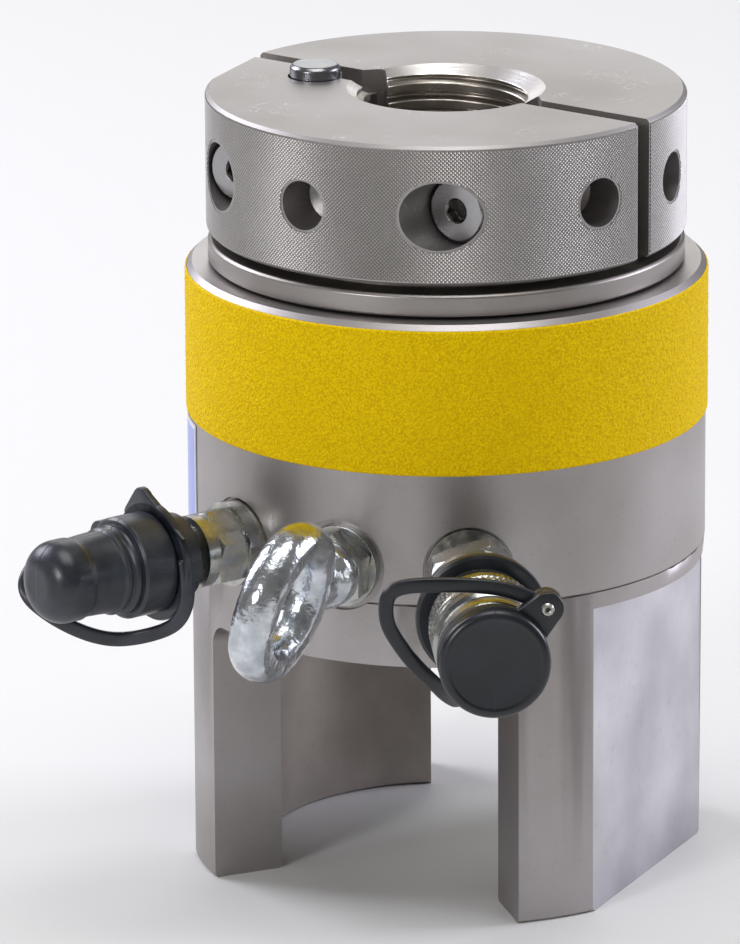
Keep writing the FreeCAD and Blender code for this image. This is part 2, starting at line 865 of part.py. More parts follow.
def left_strap():
    """Rubber ring on the nipple's neck, its pointed pull plate, and the strap that loops under the cap."""
    ring = tube(left_ring_outer, nipple_radius + fit, left_ring_start, left_ring_end)
    high = left_skirt_start - slot_gap
    low = high - left_plate_thick
    plate = rod(left_plate, low, high)
    tip = [V(-12.5, 11.5, low), V(-5, 20.6, low), V(-2, 21.6, low), V(1, 21, low), V(13, 11.2, low),
           V(-12.5, 11.5, low)]
    plate = plate.fuse(Part.Face(Part.makePolygon(tip)).extrude(V(0, 0, left_plate_thick)))
    plate = plate.cut(rod(nipple_radius + fit, low - 1, high + 1))
    start = left_skirt_start
    end = left_ear_start + ear_thick
    strap = strap_tube([(15.6, 4, start - 2), (16.6, -8, start - 2.2), (9.5, -18, start - 0.4),
                        (-1, -22.2, start + 8), (-3, -19.6, start + 18), (-8, -13.5, start + 28),
                        (-15.5, -6.5, start + 33.5), (-18.6, 0, start + 27.5),
                        (left_ear_x, left_ear_y, start + 17), (left_ear_x, left_ear_y, end)])
    return at_port(ring.fuse(plate).fuse(strap), -port_angle)


def right_adapter():
    """Double ended fitting between the port and the coupler."""
    thread = port_thread - fit
    low = port_depth + hole_end
    way = nipple_way
    shape = turned([(way, low), (thread - 1, low), (thread, low + 1), (thread, seal_face),
                    (adapter_radius, seal_face), (adapter_radius, right_hex_end), (thread, right_hex_end),
                    (thread, adapter_end), (way, adapter_end)])
    hex_ring = hexagon(right_hex_flats, seal_face + 0.4, right_hex_end - 0.4, 0)
    hex_ring = hex_ring.cut(rod(right_hex_flats / 2 - 1.5, seal_face, right_hex_end))
    return at_port(shape.fuse(hex_ring), port_angle)


def coupler_body():
    """Female quick coupler: hexagon, groove for the strap ring and a core that carries the sleeve."""
    thread = port_thread
    neck = coupler_radius
    core = coupler_core
    barrel = coupler_barrel
    root = coupler_hex_flats / 2 - 1.45
    stop = adapter_end + 0.2
    shape = turned([(thread, coupler_hex_start), (root, coupler_hex_start), (root, coupler_hex_end),
                    (barrel, coupler_hex_end + 0.4), (barrel, right_ring_start - 0.4),
                    (neck, right_ring_start - 0.4), (neck, right_ring_end + 0.2),
                    (core, right_ring_end + 0.2),
                    (core, coupler_end - 0.6), (core - 0.6, coupler_end), (coupler_bore + 0.6, coupler_end),
                    (coupler_bore, coupler_end - 0.6), (coupler_bore, right_ring_start),
                    (nipple_way, right_ring_start - 2), (nipple_way, stop), (thread, stop)])
    hex_ring = hexagon(coupler_hex_flats, coupler_hex_start, coupler_hex_end, 17.5)
    hex_ring = hex_ring.cut(rod(root - 2.8, coupler_hex_start - 1, coupler_hex_end + 1))
    shape = shape.fuse(hex_ring)
    for k in range(ball_count):
        hole = Part.makeCylinder(ball_radius + fit, coupler_radius, V(0, 0, coupler_end - ball_back), X)
        hole.rotate(O, Z, 360 / ball_count * k)
        shape = shape.cut(hole)
    return at_port(shape, port_angle)


def coupler_balls():
    """Locking balls that the sleeve holds in."""
    circle = coupler_core - ball_radius - 0.5
    pieces = []
    for k in range(ball_count):
        ball = Part.makeSphere(ball_radius, V(circle, 0, coupler_end - ball_back))
        ball.rotate(O, Z, 360 / ball_count * k)
        pieces.append(ball)
    return at_port(Part.makeCompound(pieces), port_angle)


def coupler_sleeve():
    """Ribbed sliding sleeve. Pulling it back toward the cylinder lets the balls go."""
    inner = coupler_core + fit
    room = inner + sleeve_room
    outer = sleeve_radius
    low = outer - rib_depth
    start = sleeve_start
    points = [(room, start), (outer - 0.6, start), (outer, start + 0.6)]
    for k in range(3):
        z = start + 3.4 + rib_pitch * k
        points += [(outer, z), (low, z + 0.5), (low, z + 1.4), (outer, z + 1.9)]
    points += [(outer, sleeve_end - 1), (outer - 1, sleeve_end), (inner, sleeve_end), (inner, sleeve_seat),
               (room, sleeve_seat)]
    return at_port(turned(points), port_angle)


def sleeve_spring():
    middle = coupler_core + fit + sleeve_room / 2
    return at_port(coil(middle, sleeve_wire, right_ring_end + 0.2, sleeve_seat, 4), port_angle)


def coupler_poppet():
    disc = coupler_bore - fit
    low = right_ring_start + valve_lift
    back = low + 8
    front = back + 5
    tip = low + valve_length
    shape = turned([(0, low), (3.2, low), (3.2, back), (disc, back), (disc, front), (3.4, front + 3),
                    (2.6, tip), (0, tip)])
    return at_port(shape, port_angle)


def coupler_poppet_spring():
    low = right_ring_start
    return at_port(coil(valve_coil, valve_wire, low, low + valve_lift + 8, 3), port_angle)


def right_dust_cap():
    """Short round cap with a plug that pushes into the coupler, and an ear for its strap."""
    plug = plug_radius
    low = right_cap_start - plug_length
    outer = right_cap_radius
    shape = turned([(0, low), (plug - 1, low), (plug, low + 1), (plug, right_cap_start),
                    (outer - edge, right_cap_start), (outer, right_cap_start + edge),
                    (outer, right_cap_end), (0, right_cap_end)])
    shape = rounded(shape, 2 * edge, [right_cap_end])
    lug = ear(right_ear_start, right_ear_x, right_ear_y, right_cap_radius - 4.1)
    return at_port(shape.fuse(lug).cut(rivet_shaft()), port_angle)


def rivet_shaft():
    """Hole for the rivet through the cap's ear and the strap's end."""
    low = strap_low - 2
    return Part.makeCylinder(rivet_hole, 10, V(right_ear_x, right_ear_y, low))


def right_strap():
    """Rubber ring in the coupler's groove and the strap that loops round to the cap's ear."""
    ring = tube(right_ring_outer, coupler_radius + fit, right_ring_start, right_ring_end)
    mid = strap_low + strap_thick / 2
    groove = right_ring_end
    strap = strap_tube([(12.5, 15, mid), (0, 19.6, mid - 1.2), (-26.5, 20.5, mid - 1.5), (-33, 8, mid - 2),
                        (-23, -3.5, mid - 3.4), (-12.5, -15, groove + 23.6), (-5.5, -23.2, groove + 11.6),
                        (-2.8, -16.3, groove - 1.4)])
    end = Part.makeCylinder(ear_radius, strap_thick, V(right_ear_x, right_ear_y, strap_low))
    return at_port(ring.fuse(strap).fuse(end).cut(rivet_shaft()), port_angle)


def cap_rivet():
    """Tubular rivet that pins the strap to the cap's ear."""
    low = strap_low - ear_gap
    high = right_ear_start + ear_thick + ear_gap
    shank = rivet_hole - fit
    shape = turned([(rivet_bore, low - 0.6), (rivet_head, low - 0.6), (rivet_head, low), (shank, low),
                    (shank, high), (rivet_head, high), (rivet_head, high + 0.3),
                    (rivet_head - 0.7, high + 0.8), (rivet_bore, high + 0.8)])
    return at_port(moved(shape, V(right_ear_x, right_ear_y, 0)), port_angle)


def eye_bolt():
    """Lifting eye in one piece: threaded stud, collar and forged ring."""
    low = eye_depth + hole_end
    step = eye_hex_end + eye_collar_length
    stud = turned([(0, low), (eye_thread - 1, low), (eye_thread, low + 1), (eye_thread, eye_hex_end),
                   (eye_collar - 0.6, eye_hex_end), (eye_collar, eye_hex_end + 0.6), (eye_collar, step),
                   (eye_collar - 2, step + eye_neck), (0, step + eye_neck)])
    middle = V(0, 0, eye_centre)
    foot = V(0, 0, eye_centre - eye_mean)
    section = Part.Ellipse(foot + V(eye_side, 0, 0), foot + V(0, 0, eye_radial), foot)
    face = Part.Face(Part.Wire(section.toShape()))
    ring = face.revolve(middle, X, 360)
    ring.rotate(middle, Z, -eye_tilt)
    return at_port(stud.fuse(ring), 0)


def eye_nut():
    shape = hexagon(eye_hex_flats, eye_hex_start, eye_hex_end, 24.3)
    return at_port(shape.cut(rod(eye_thread + fit, eye_hex_start - 1, eye_hex_end + 1)), 0)


def eye_washer():
    return at_port(tube(washer_radius, eye_thread + 8 * fit, spot_floor, eye_hex_start), 0)


def main():
    os.makedirs("parts", exist_ok=True)
    makers = (bridge, bridge_screws, cylinder, piston, thrust_ring, thrust_ring_screws, outer_seal,
              outer_backup, inner_seal, inner_backup, wiper, spring_retainer, return_spring,
              front_nut_half, rear_nut_half, hinge_pin, pin_lock_screw, clamp_screw, clamp_spring,
              grip_band, label_plate, left_nipple, left_poppet, left_poppet_spring, left_dust_cap,
              left_strap, right_adapter, coupler_body, coupler_balls, coupler_sleeve, sleeve_spring,
              coupler_poppet, coupler_poppet_spring, right_dust_cap, right_strap, cap_rivet,
              eye_bolt, eye_nut, eye_washer)
    for maker in makers:
        save(maker.__name__, maker())
    save("left_port_seal", port_seal(-port_angle))
    save("right_port_seal", port_seal(port_angle))


main()
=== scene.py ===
# Hydraulic bolt tensioner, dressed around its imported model. Metres, in the model's own frame.
import math
import random

import bpy
from mathutils import Matrix, Vector, noise


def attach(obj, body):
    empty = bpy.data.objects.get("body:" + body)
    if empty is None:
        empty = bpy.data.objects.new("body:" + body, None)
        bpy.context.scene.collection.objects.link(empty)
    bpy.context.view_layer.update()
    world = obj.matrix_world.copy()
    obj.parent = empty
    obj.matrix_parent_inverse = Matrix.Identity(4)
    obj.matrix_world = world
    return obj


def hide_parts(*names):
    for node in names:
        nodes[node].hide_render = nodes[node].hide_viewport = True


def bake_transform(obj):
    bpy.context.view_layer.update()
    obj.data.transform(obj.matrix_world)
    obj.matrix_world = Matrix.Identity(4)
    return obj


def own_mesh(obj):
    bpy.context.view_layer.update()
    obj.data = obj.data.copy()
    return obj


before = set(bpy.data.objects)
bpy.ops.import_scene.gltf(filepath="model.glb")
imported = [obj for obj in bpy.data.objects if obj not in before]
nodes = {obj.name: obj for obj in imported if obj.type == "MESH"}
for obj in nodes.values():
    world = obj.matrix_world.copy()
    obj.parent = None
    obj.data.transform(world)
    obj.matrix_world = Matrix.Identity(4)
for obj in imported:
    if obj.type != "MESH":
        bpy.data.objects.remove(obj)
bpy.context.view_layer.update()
mm = 0.001


# Camera: the photograph's own viewpoint, a long lens from the front right and a little above.
# Its place and lens were fitted to the rims of the nut, the band and the bridge.
camera_place = Vector((960.7, -2157.9, 820.8)) * mm
camera_turn = 24.54
camera_pitch = 16.67
camera_roll = -0.32
camera_data = bpy.data.cameras.new("camera")
camera_data.sensor_fit = "VERTICAL"
camera_data.sensor_height = 24
camera_data.lens = 216.27
camera = bpy.data.objects.new("camera", camera_data)
turn = Matrix.Rotation(math.radians(camera_turn), 4, "Z")
pitch = Matrix.Rotation(math.radians(90 - camera_pitch), 4, "X")
roll = Matrix.Rotation(math.radians(camera_roll), 4, "Z")
camera.matrix_world = Matrix.Translation(camera_place) @ turn @ pitch @ roll
bpy.context.scene.collection.objects.link(camera)
bpy.context.scene.camera = camera
bpy.context.scene.view_settings.view_transform = "Standard"


# Floor: a plain pale studio floor under the tool.
# Painted board, matte, with nothing on it.
def colour(code):
    """Linear colour from an sRGB hex code."""
    parts = [int(code[k:k + 2], 16) / 255 for k in (0, 2, 4)]
    return [c / 12.92 if c <= 0.04045 else ((c + 0.055) / 1.055) ** 2.4 for c in parts] + [1.0]


def add_node(tree, kind, inputs=None, **settings):
    """Add a shader node with its settings, values and links."""
    node = tree.nodes.new(kind)
    for name, value in settings.items():
        setattr(node, name, value)
    for name, value in (inputs or {}).items():
        if isinstance(value, bpy.types.NodeSocket):
            tree.links.new(value, node.inputs[name])
        else:
            node.inputs[name].default_value = value
    return node


def new_finish(name, **values):
    """New material. Returns it with its node tree and its shader."""
    material = bpy.data.materials.new(name)
    material.use_nodes = True
    shader = material.node_tree.nodes["Principled BSDF"]
    for key, value in values.items():
        shader.inputs[key.replace("_", " ")].default_value = value
    return material, material.node_tree, shader


def deselect():
    """Leave nothing selected."""
    bpy.ops.object.select_all(action="DESELECT")


deselect()
bpy.ops.mesh.primitive_plane_add(size=12, location=(0, 0, 0))
floor = bpy.context.object
floor.name = "floor"
board, tree, shader = new_finish("painted_board", Base_Color=colour("dededc"), Roughness=0.8)
floor.data.materials.append(board)


# Light: cool soft boxes round the tool and above it, in a pale warm room.
# They stand where the soft bands on the body and the highlights on the nut point to.
def soft_box(name, place, target, size, power, tint):
    """Square soft box that faces its target, with its power in watts."""
    lamp = bpy.data.lights.new(name, "AREA")
    lamp.shape = "SQUARE"
    lamp.size = size
    lamp.energy = power
    lamp.color = colour(tint)[:3]
    box = bpy.data.objects.new(name, lamp)
    box.location = place
    box.rotation_euler = (Vector(target) - Vector(place)).to_track_quat("-Z", "Y").to_euler()
    bpy.context.scene.collection.objects.link(box)


middle = (0, 0, 0.12)
soft_box("left_box", (-1.6, 0.25, 1.1), middle, 1.0, 24, "f2f2ff")
soft_box("front_box", (-0.5, -2.0, 0.9), middle, 0.45, 13.5, "fbfaff")
soft_box("right_box", (1.35, 1.1, 0.8), middle, 0.9, 21, "eeeeff")
soft_box("top_box", (0.2, -0.2, 2.0), middle, 1.2, 18, "ffffff")
soft_box("back_box", (-0.75, 1.7, 1.0), middle, 1.2, 7, "ffffff")
world = bpy.data.worlds.new("studio")
world.use_nodes = True
world.node_tree.nodes["Background"].inputs["Color"].default_value = colour("dcd9d4")
world.node_tree.nodes["Background"].inputs["Strength"].default_value = 0.29
bpy.context.scene.world = world


# Bridge: the open foot that stands over the nut being tightened.
# A turned steel ring, milled open at the front and the back and flat on both sides for a wrench.
def turned_steel(name, dark, light, roughness, blotch, stain="8d8984", scuffed=0.0):
    """Nickel plated steel: faint turning lines, specks, pale scuffs and soft stains.

    Blotch is the stains' size in millimetres. Each other scale is how many of a pattern fit in a millimetre.
    Real turning lines are a tenth of a millimetre apart, and are drawn coarser so that they show.
    """
    steel, tree, shader = new_finish(name, Metallic=1.0)
    place = add_node(tree, "ShaderNodeTexCoord").outputs["Object"]
    axes = add_node(tree, "ShaderNodeSeparateXYZ", {0: place})
    round_part = add_node(tree, "ShaderNodeCombineXYZ", {0: axes.outputs[0], 1: axes.outputs[1]})
    radius = add_node(tree, "ShaderNodeVectorMath", {0: round_part.outputs[0]}, operation="LENGTH")
    along = add_node(tree, "ShaderNodeCombineXYZ", {0: radius.outputs["Value"], 1: axes.outputs[2]})
    lines = add_node(tree, "ShaderNodeTexNoise",
                     {"Vector": along.outputs[0], "Scale": 1.4 / mm, "Detail": 2.0})
    patches = add_node(tree, "ShaderNodeTexNoise",
                       {"Vector": place, "Scale": 1 / (blotch * mm), "Detail": 3.0, "Roughness": 0.45})
    grain = add_node(tree, "ShaderNodeTexNoise", {"Vector": place, "Scale": 2.2 / mm, "Detail": 1.0})
    tones = add_node(tree, "ShaderNodeValToRGB", {"Fac": patches.outputs["Fac"]})
    tones.color_ramp.elements[0].position = 0.3
    tones.color_ramp.elements[0].color = colour(dark)
    tones.color_ramp.elements[1].position = 0.7
    tones.color_ramp.elements[1].color = colour(light)
    specks = add_node(tree, "ShaderNodeTexNoise", {"Vector": place, "Scale": 0.5 / mm, "Detail": 3.0})
    few = add_node(tree, "ShaderNodeMapRange",
                   {"Value": specks.outputs["Fac"], "From Min": 0.6, "From Max": 0.74,
                    "To Min": 0.0, "To Max": 0.2})
    stained = add_node(tree, "ShaderNodeMix",
                       {"Factor": few.outputs["Result"], "A": tones.outputs["Color"], "B": colour(stain)},
                       data_type="RGBA")
    loops = add_node(tree, "ShaderNodeTexNoise",
                     {"Vector": place, "Scale": 0.13 / mm, "Detail": 2.0, "Distortion": 1.5})
    edge = add_node(tree, "ShaderNodeMath", {0: loops.outputs["Fac"], 1: 0.5}, operation="SUBTRACT")
    line = add_node(tree, "ShaderNodeMath", {0: edge.outputs[0]}, operation="ABSOLUTE")
    thin = add_node(tree, "ShaderNodeMapRange",
                    {"Value": line.outputs[0], "From Min": 0.0, "From Max": 0.012,
                     "To Min": scuffed, "To Max": 0.0})
    where = add_node(tree, "ShaderNodeTexNoise", {"Vector": place, "Scale": 0.055 / mm, "Detail": 1.0})
    there = add_node(tree, "ShaderNodeMapRange",
                     {"Value": where.outputs["Fac"], "From Min": 0.56, "From Max": 0.64})
    scuffs = add_node(tree, "ShaderNodeMath", {0: thin.outputs["Result"], 1: there.outputs["Result"]},
                      operation="MULTIPLY")
    mixed = add_node(tree, "ShaderNodeMix",
                     {"Factor": scuffs.outputs[0], "A": stained.outputs["Result"], "B": colour("ececec")},
                     data_type="RGBA")
    tree.links.new(mixed.outputs["Result"], shader.inputs["Base Color"])
    gloss = add_node(tree, "ShaderNodeMapRange",
                     {"Value": patches.outputs["Fac"], "From Min": 0.3, "From Max": 0.7,
                      "To Min": roughness + 0.03, "To Max": roughness - 0.03})
    tree.links.new(gloss.outputs["Result"], shader.inputs["Roughness"])
    both = add_node(tree, "ShaderNodeMath", {0: lines.outputs["Fac"], 1: grain.outputs["Fac"]},
                    operation="ADD")
    bump = add_node(tree, "ShaderNodeBump",
                    {"Height": both.outputs[0], "Strength": 0.14, "Distance": 0.2 * mm})
    tree.links.new(bump.outputs["Normal"], shader.inputs["Normal"])
    return steel


def pick(piece):
    """Select this piece alone and make it the active one."""
    deselect()
    piece.select_set(True)
    bpy.context.view_layer.objects.active = piece


weld_gap = 0.002 * mm
facet_angle = math.radians(0.4)
edge_angle = math.radians(28)
smooth_angle = math.radians(40)


def softened(name, width, body, finish, rounds=2):
    """Copy of a rigid piece of the model with its facets merged and its edges broken."""
    piece = bpy.data.objects.new(name + "_edged", nodes[name].data.copy())
    bpy.context.scene.collection.objects.link(piece)
    pick(piece)
    bpy.ops.mesh.customdata_custom_splitnormals_clear()
    bpy.ops.object.mode_set(mode="EDIT")
    bpy.ops.mesh.select_all(action="SELECT")
    bpy.ops.mesh.remove_doubles(threshold=weld_gap)
    bpy.ops.mesh.dissolve_limited(angle_limit=facet_angle)
    bpy.ops.object.mode_set(mode="OBJECT")
    bevel = piece.modifiers.new("broken_edges", "BEVEL")
    bevel.width = width
    bevel.segments = rounds
    bevel.limit_method = "ANGLE"
    bevel.angle_limit = edge_angle
    bpy.ops.object.modifier_apply(modifier=bevel.name)
    bpy.ops.object.shade_smooth_by_angle(angle=smooth_angle)
    flat = piece.modifiers.new("flat_faces", "WEIGHTED_NORMAL")
    flat.weight = 100
    flat.keep_sharp = True
    bpy.ops.object.modifier_apply(modifier=flat.name)
    piece.data.materials[0] = finish
    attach(piece, body)
    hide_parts(name)
    return piece


body_steel = turned_steel("satin_turned_steel", "a09b97", "b2aeaf", 0.42, 45)
milled_steel = turned_steel("milled_flat_steel", "aeacb3", "d3d2d8", 0.42, 34)
bored_steel = turned_steel("bored_steel", "a39c95", "b8b1aa", 0.5, 22)
bridge_inner = 53.15 * mm
flat_distance = 63.5 * mm
body_outer = 74.8 * mm
joint_height = 95.8 * mm
joint_reach = 0.5 * mm
joint_closing = 0.75
bore_reach = 1 * mm
near = 0.1 * mm
hair = 0.02 * mm
bridge = softened("bridge", 0.35 * mm, "cylinder", body_steel)
bridge.data.materials.append(milled_steel)
bridge.data.materials.append(bored_steel)
for face in bridge.data.polygons:
    upright = abs(face.normal.z) < 0.3
    if abs(face.normal.x) > 0.99 and abs(abs(face.center.x) - flat_distance) < near:
        face.material_index = 1
    elif upright and face.center.to_2d().length < bridge_inner + bore_reach:
        face.material_index = 2


def closed_joint(piece, side):
    """Narrow the broken edge where the bridge meets the cylinder, so that only a fine line shows."""
    for vert in piece.data.vertices:
        r = vert.co.to_2d().length
        inset = body_outer - r
        gap = (joint_height - vert.co.z) * side
        if -hair < inset < joint_reach and -hair < gap < joint_reach:
            vert.co.z += joint_closing * gap * side
            vert.co.x *= 1 + joint_closing * inset / r
            vert.co.y *= 1 + joint_closing * inset / r


closed_joint(bridge, 1)
softened("bridge_screws", 0.15 * mm, "cylinder",
         turned_steel("blackened_steel", "343436", "424244", 0.5, 5, "5a5856"))


# Cylinder: the heavy body, turned from bar, with three spotfaces for its fittings.
# Its steel is the bridge's. The two screw together, and only a fine line shows the joint.
closed_joint(softened("cylinder", 0.3 * mm, "cylinder", body_steel), -1)


# Grip band: grit tape round the upper body, so that oily gloves can hold it.
# Coarse sand under yellow paint on a cloth tape, closed all round with no seam to see.
# Real grit is under half a millimetre, and is drawn a little coarser so that it shows.
band_outer = 75.2 * mm
band_start = 180
band_low = 134.4 * mm
band_high = 176.7 * mm
grit_step = 0.47 * mm
grit_height = 0.3 * mm
grit_lumps = 1.1 * mm
sand_share = 0.55
lump_share = 0.45
lump_lift = 0.25
tape_edge = 0.06 * mm


def wrapped(name, radius, start, end, low, high, across, up):
    """Flat sheet wrapped round the body between two angles, measured from the front."""
    deselect()
    bpy.ops.mesh.primitive_grid_add(x_subdivisions=across, y_subdivisions=up, size=1)
    sheet = bpy.context.object
    sheet.name = name
    for vert in sheet.data.vertices:
        a = math.radians(start + (end - start) * (vert.co.x + 0.5))
        z = low + (high - low) * (vert.co.y + 0.5)
        vert.co = (radius * math.sin(a), -radius * math.cos(a), z)
    return sheet


tape, tree, shader = new_finish("yellow_grit_tape", Roughness=0.6, Specular_IOR_Level=0.08)
place = add_node(tree, "ShaderNodeTexCoord").outputs["Object"]
grains = add_node(tree, "ShaderNodeTexVoronoi", {"Vector": place, "Scale": 1.5 / mm})
dirt = add_node(tree, "ShaderNodeTexNoise", {"Vector": place, "Scale": 0.06 / mm, "Detail": 3.0})
# Each grain's middle is painted lighter and its rim darker: painted highlight and shade on the grit.
paint = add_node(tree, "ShaderNodeValToRGB", {"Fac": grains.outputs["Distance"]})
paint.color_ramp.elements[0].position = 0.1
paint.color_ramp.elements[0].color = colour("fadc00")
paint.color_ramp.elements[1].position = 0.75
paint.color_ramp.elements[1].color = colour("dcb200")
worn = add_node(tree, "ShaderNodeMapRange",
                {"Value": dirt.outputs["Fac"], "From Min": 0.35, "From Max": 0.75,
                 "To Min": 0.0, "To Max": 0.35})
mixed = add_node(tree, "ShaderNodeMix",
                 {"Factor": worn.outputs["Result"], "A": paint.outputs["Color"], "B": colour("e2bc00")},
                 data_type="RGBA")
tree.links.new(mixed.outputs["Result"], shader.inputs["Base Color"])
rough = add_node(tree, "ShaderNodeTexNoise", {"Vector": place, "Scale": 3 / mm, "Detail": 1.0})
bump = add_node(tree, "ShaderNodeBump",
                {"Height": rough.outputs["Fac"], "Strength": 0.35, "Distance": 0.3 * mm})
tree.links.new(bump.outputs["Normal"], shader.inputs["Normal"])

band = wrapped("grip_tape", band_outer, band_start, band_start + 360, band_low, band_high,
               round(2 * math.pi * band_outer / grit_step), round((band_high - band_low) / grit_step))
pick(band)
bpy.ops.object.mode_set(mode="EDIT")
bpy.ops.mesh.select_all(action="SELECT")
bpy.ops.mesh.remove_doubles(threshold=hair)
bpy.ops.object.mode_set(mode="OBJECT")
sand = random.Random(3)
for vert in band.data.vertices:
    x, y, z = vert.co
    lumps = noise.noise(Vector((x, y, z)) / grit_lumps)
    tall = grit_height * (sand_share * sand.random() ** 2 + lump_share * max(0, lumps + lump_lift))
    if min(z - band_low, band_high - z) < hair:
        tall = body_outer + tape_edge - band_outer
    vert.co = (x * (1 + tall / band_outer), y * (1 + tall / band_outer), z)
for face in band.data.polygons:
    face.use_smooth = False
band.data.materials.append(tape)
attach(band, "cylinder")
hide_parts("grip_band")


# Label: a thin plastic film, glued round the far left of the lower body.
# Faded blue inside a thin white margin, with a soft gloss.
label_low = 101.0 * mm
label_high = 133.6 * mm
label_start = -105
label_end = -50
label_margin = 1.6 * mm
label_lift = 0.25 * mm
label_thick = 0.18 * mm
label_columns = 44
label_rows = 20


def label_plastic(name, dark, light):
    """Soft vinyl film with a clear coat, faded unevenly by the sun and by oil."""
    plastic, tree, shader = new_finish(name, Roughness=0.36, Coat_Weight=0.3)
    place = add_node(tree, "ShaderNodeTexCoord").outputs["Object"]
    fade = add_node(tree, "ShaderNodeTexNoise", {"Vector": place, "Scale": 0.09 / mm, "Detail": 3.0})
    ink = add_node(tree, "ShaderNodeValToRGB", {"Fac": fade.outputs["Fac"]})
    ink.color_ramp.elements[0].color = colour(dark)
    ink.color_ramp.elements[1].color = colour(light)
    tree.links.new(ink.outputs["Color"], shader.inputs["Base Color"])
    return plastic


film = label_plastic("blue_label_film", "6d82d6", "8497e2")
edge_film = label_plastic("white_label_margin", "c8cad2", "dcdde2")
label = wrapped("label_film", body_outer + label_lift, label_start, label_end, label_low, label_high,
                label_columns, label_rows)
label.data.materials.append(film)
label.data.materials.append(edge_film)
for face in label.data.polygons:
    a = math.degrees(math.atan2(face.center.x, -face.center.y))
    near_side = min(a - label_start, label_end - a) * math.radians(1) * body_outer < label_margin
    near_end = min(face.center.z - label_low, label_high - face.center.z) < label_margin
    face.material_index = 1 if near_side or near_end else 0
    face.use_smooth = True
thick = label.modifiers.new("film_thickness", "SOLIDIFY")
thick.thickness = label_thick
thick.offset = -1
pick(label)
bpy.ops.object.modifier_apply(modifier=thick.name)
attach(label, "cylinder")
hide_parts("label_plate")


# Thrust ring: a wide hardened ring, screwed on top of the piston, that carries the turning nut.
# Its flange is bright from turning, and a lip stands up round the seat, whose oiled steel is painted darker
# still as the shade under the nut.
flange_steel = turned_steel("turned_flange_steel", "928d88", "a7a3a0", 0.38, 40)
# Oiled steel, painted darker as the shade that falls on the seat under the nut. The hidden dark steel parts
# use it too.
oiled_shaded_steel = turned_steel("oiled_seat_painted_shade", "77726b", "928c84", 0.45, 12, "55514c")
seat_outer = 60.0 * mm
ring_top = 183.7 * mm
shade_reach = 3 * mm
lip_bevel = 1.2 * mm
lip_over = 0.5 * mm
lip_rise = 1.7 * mm
ring = softened("thrust_ring", 0.3 * mm, "piston", flange_steel)
ring.data.materials.append(oiled_shaded_steel)
# The seat faces inside the lip take the darker steel: painted shade in the recess under the nut.
for face in ring.data.polygons:
    inside = face.center.to_2d().length < seat_outer + shade_reach
    if face.center.z > ring_top - near and inside:
        face.material_index = 1
for vert in ring.data.vertices:
    outside = vert.co.to_2d().length > seat_outer - near
    if ring_top - lip_bevel < vert.co.z < ring_top + lip_over and outside:
        vert.co.z += lip_rise


# Split nut: two halves of forged steel, turned, split and drilled, then plated.
# Every machined edge is broken with a file, so each one catches a thin line of light.
nut_bottom = 188.0 * mm
nut_top = 228.3 * mm
nut_radius = 68.8 * mm
nut_turn = math.radians(-12)
split_half = 2.8 * mm
nut_bodies = {"front_nut_half": "front_nut", "rear_nut_half": "rear_nut"}
nut_steel = turned_steel("satin_nut_steel", "9f9b98", "aaa7a6", 0.48, 50, scuffed=0.45)
# The split faces are painted darker than the nut: painted shade inside the narrow split gap.
sawn_shaded_steel = turned_steel("sawn_split_painted_shade", "85817c", "9a9691", 0.55, 14)


def new_piece(name, verts, faces, material, body, smooth=True):
    """New mesh piece that takes its finish from a slot. It rides on a body, if one is given."""
    mesh = bpy.data.meshes.new(name)
    mesh.from_pydata(verts, [], faces)
    mesh.validate()
    piece = bpy.data.objects.new(name, mesh)
    bpy.context.scene.collection.objects.link(piece)
    piece.data.materials.append(material)
    mesh.polygons.foreach_set("use_smooth", [smooth] * len(mesh.polygons))
    if body:
        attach(piece, body)
    return piece


for name, body in nut_bodies.items():
    half = softened(name, 0.3 * mm, body, nut_steel)
    half.data.materials.append(sawn_shaded_steel)
    # Faces on the split planes take the darker steel as painted shade in the gap.
    for face in half.data.polygons:
        across = face.center.y * math.cos(nut_turn) - face.center.x * math.sin(nut_turn)
        if abs(abs(across) - split_half) < hair:
            face.material_index = 1


# Knurl: rolled into the nut's wall so that a gloved hand can spin it.
# Fine diamonds about a millimetre wide, worn bright on their tips and painted dark between them as shade in
# the pits.
knurl_step = 0.56 * mm
knurl_depth = 0.24 * mm
knurl_rim = 1.3 * mm
hole_level = (nut_bottom + nut_top) / 2
bar_hole = 7.1 * mm
screw_pocket = 9.75 * mm
screw_line = 38.7 * mm
rim_flat = 65.5 * mm
rim_flat_angle = math.radians(192)
bar_spread = (-75, 0, 75)
hole_margin = 0.45 * mm
split_margin = 0.3 * mm
columns = 2 * round(math.pi * nut_radius / knurl_step)
rows = round((nut_top - nut_bottom - 2 * knurl_rim) / knurl_step)


knurled_steel, tree, shader = new_finish("knurled_steel", Metallic=1.0, Roughness=0.45)
place = add_node(tree, "ShaderNodeTexCoord").outputs["Object"]
axes = add_node(tree, "ShaderNodeSeparateXYZ", {0: place})
round_part = add_node(tree, "ShaderNodeCombineXYZ", {0: axes.outputs[0], 1: axes.outputs[1]})
radius = add_node(tree, "ShaderNodeVectorMath", {0: round_part.outputs[0]}, operation="LENGTH")
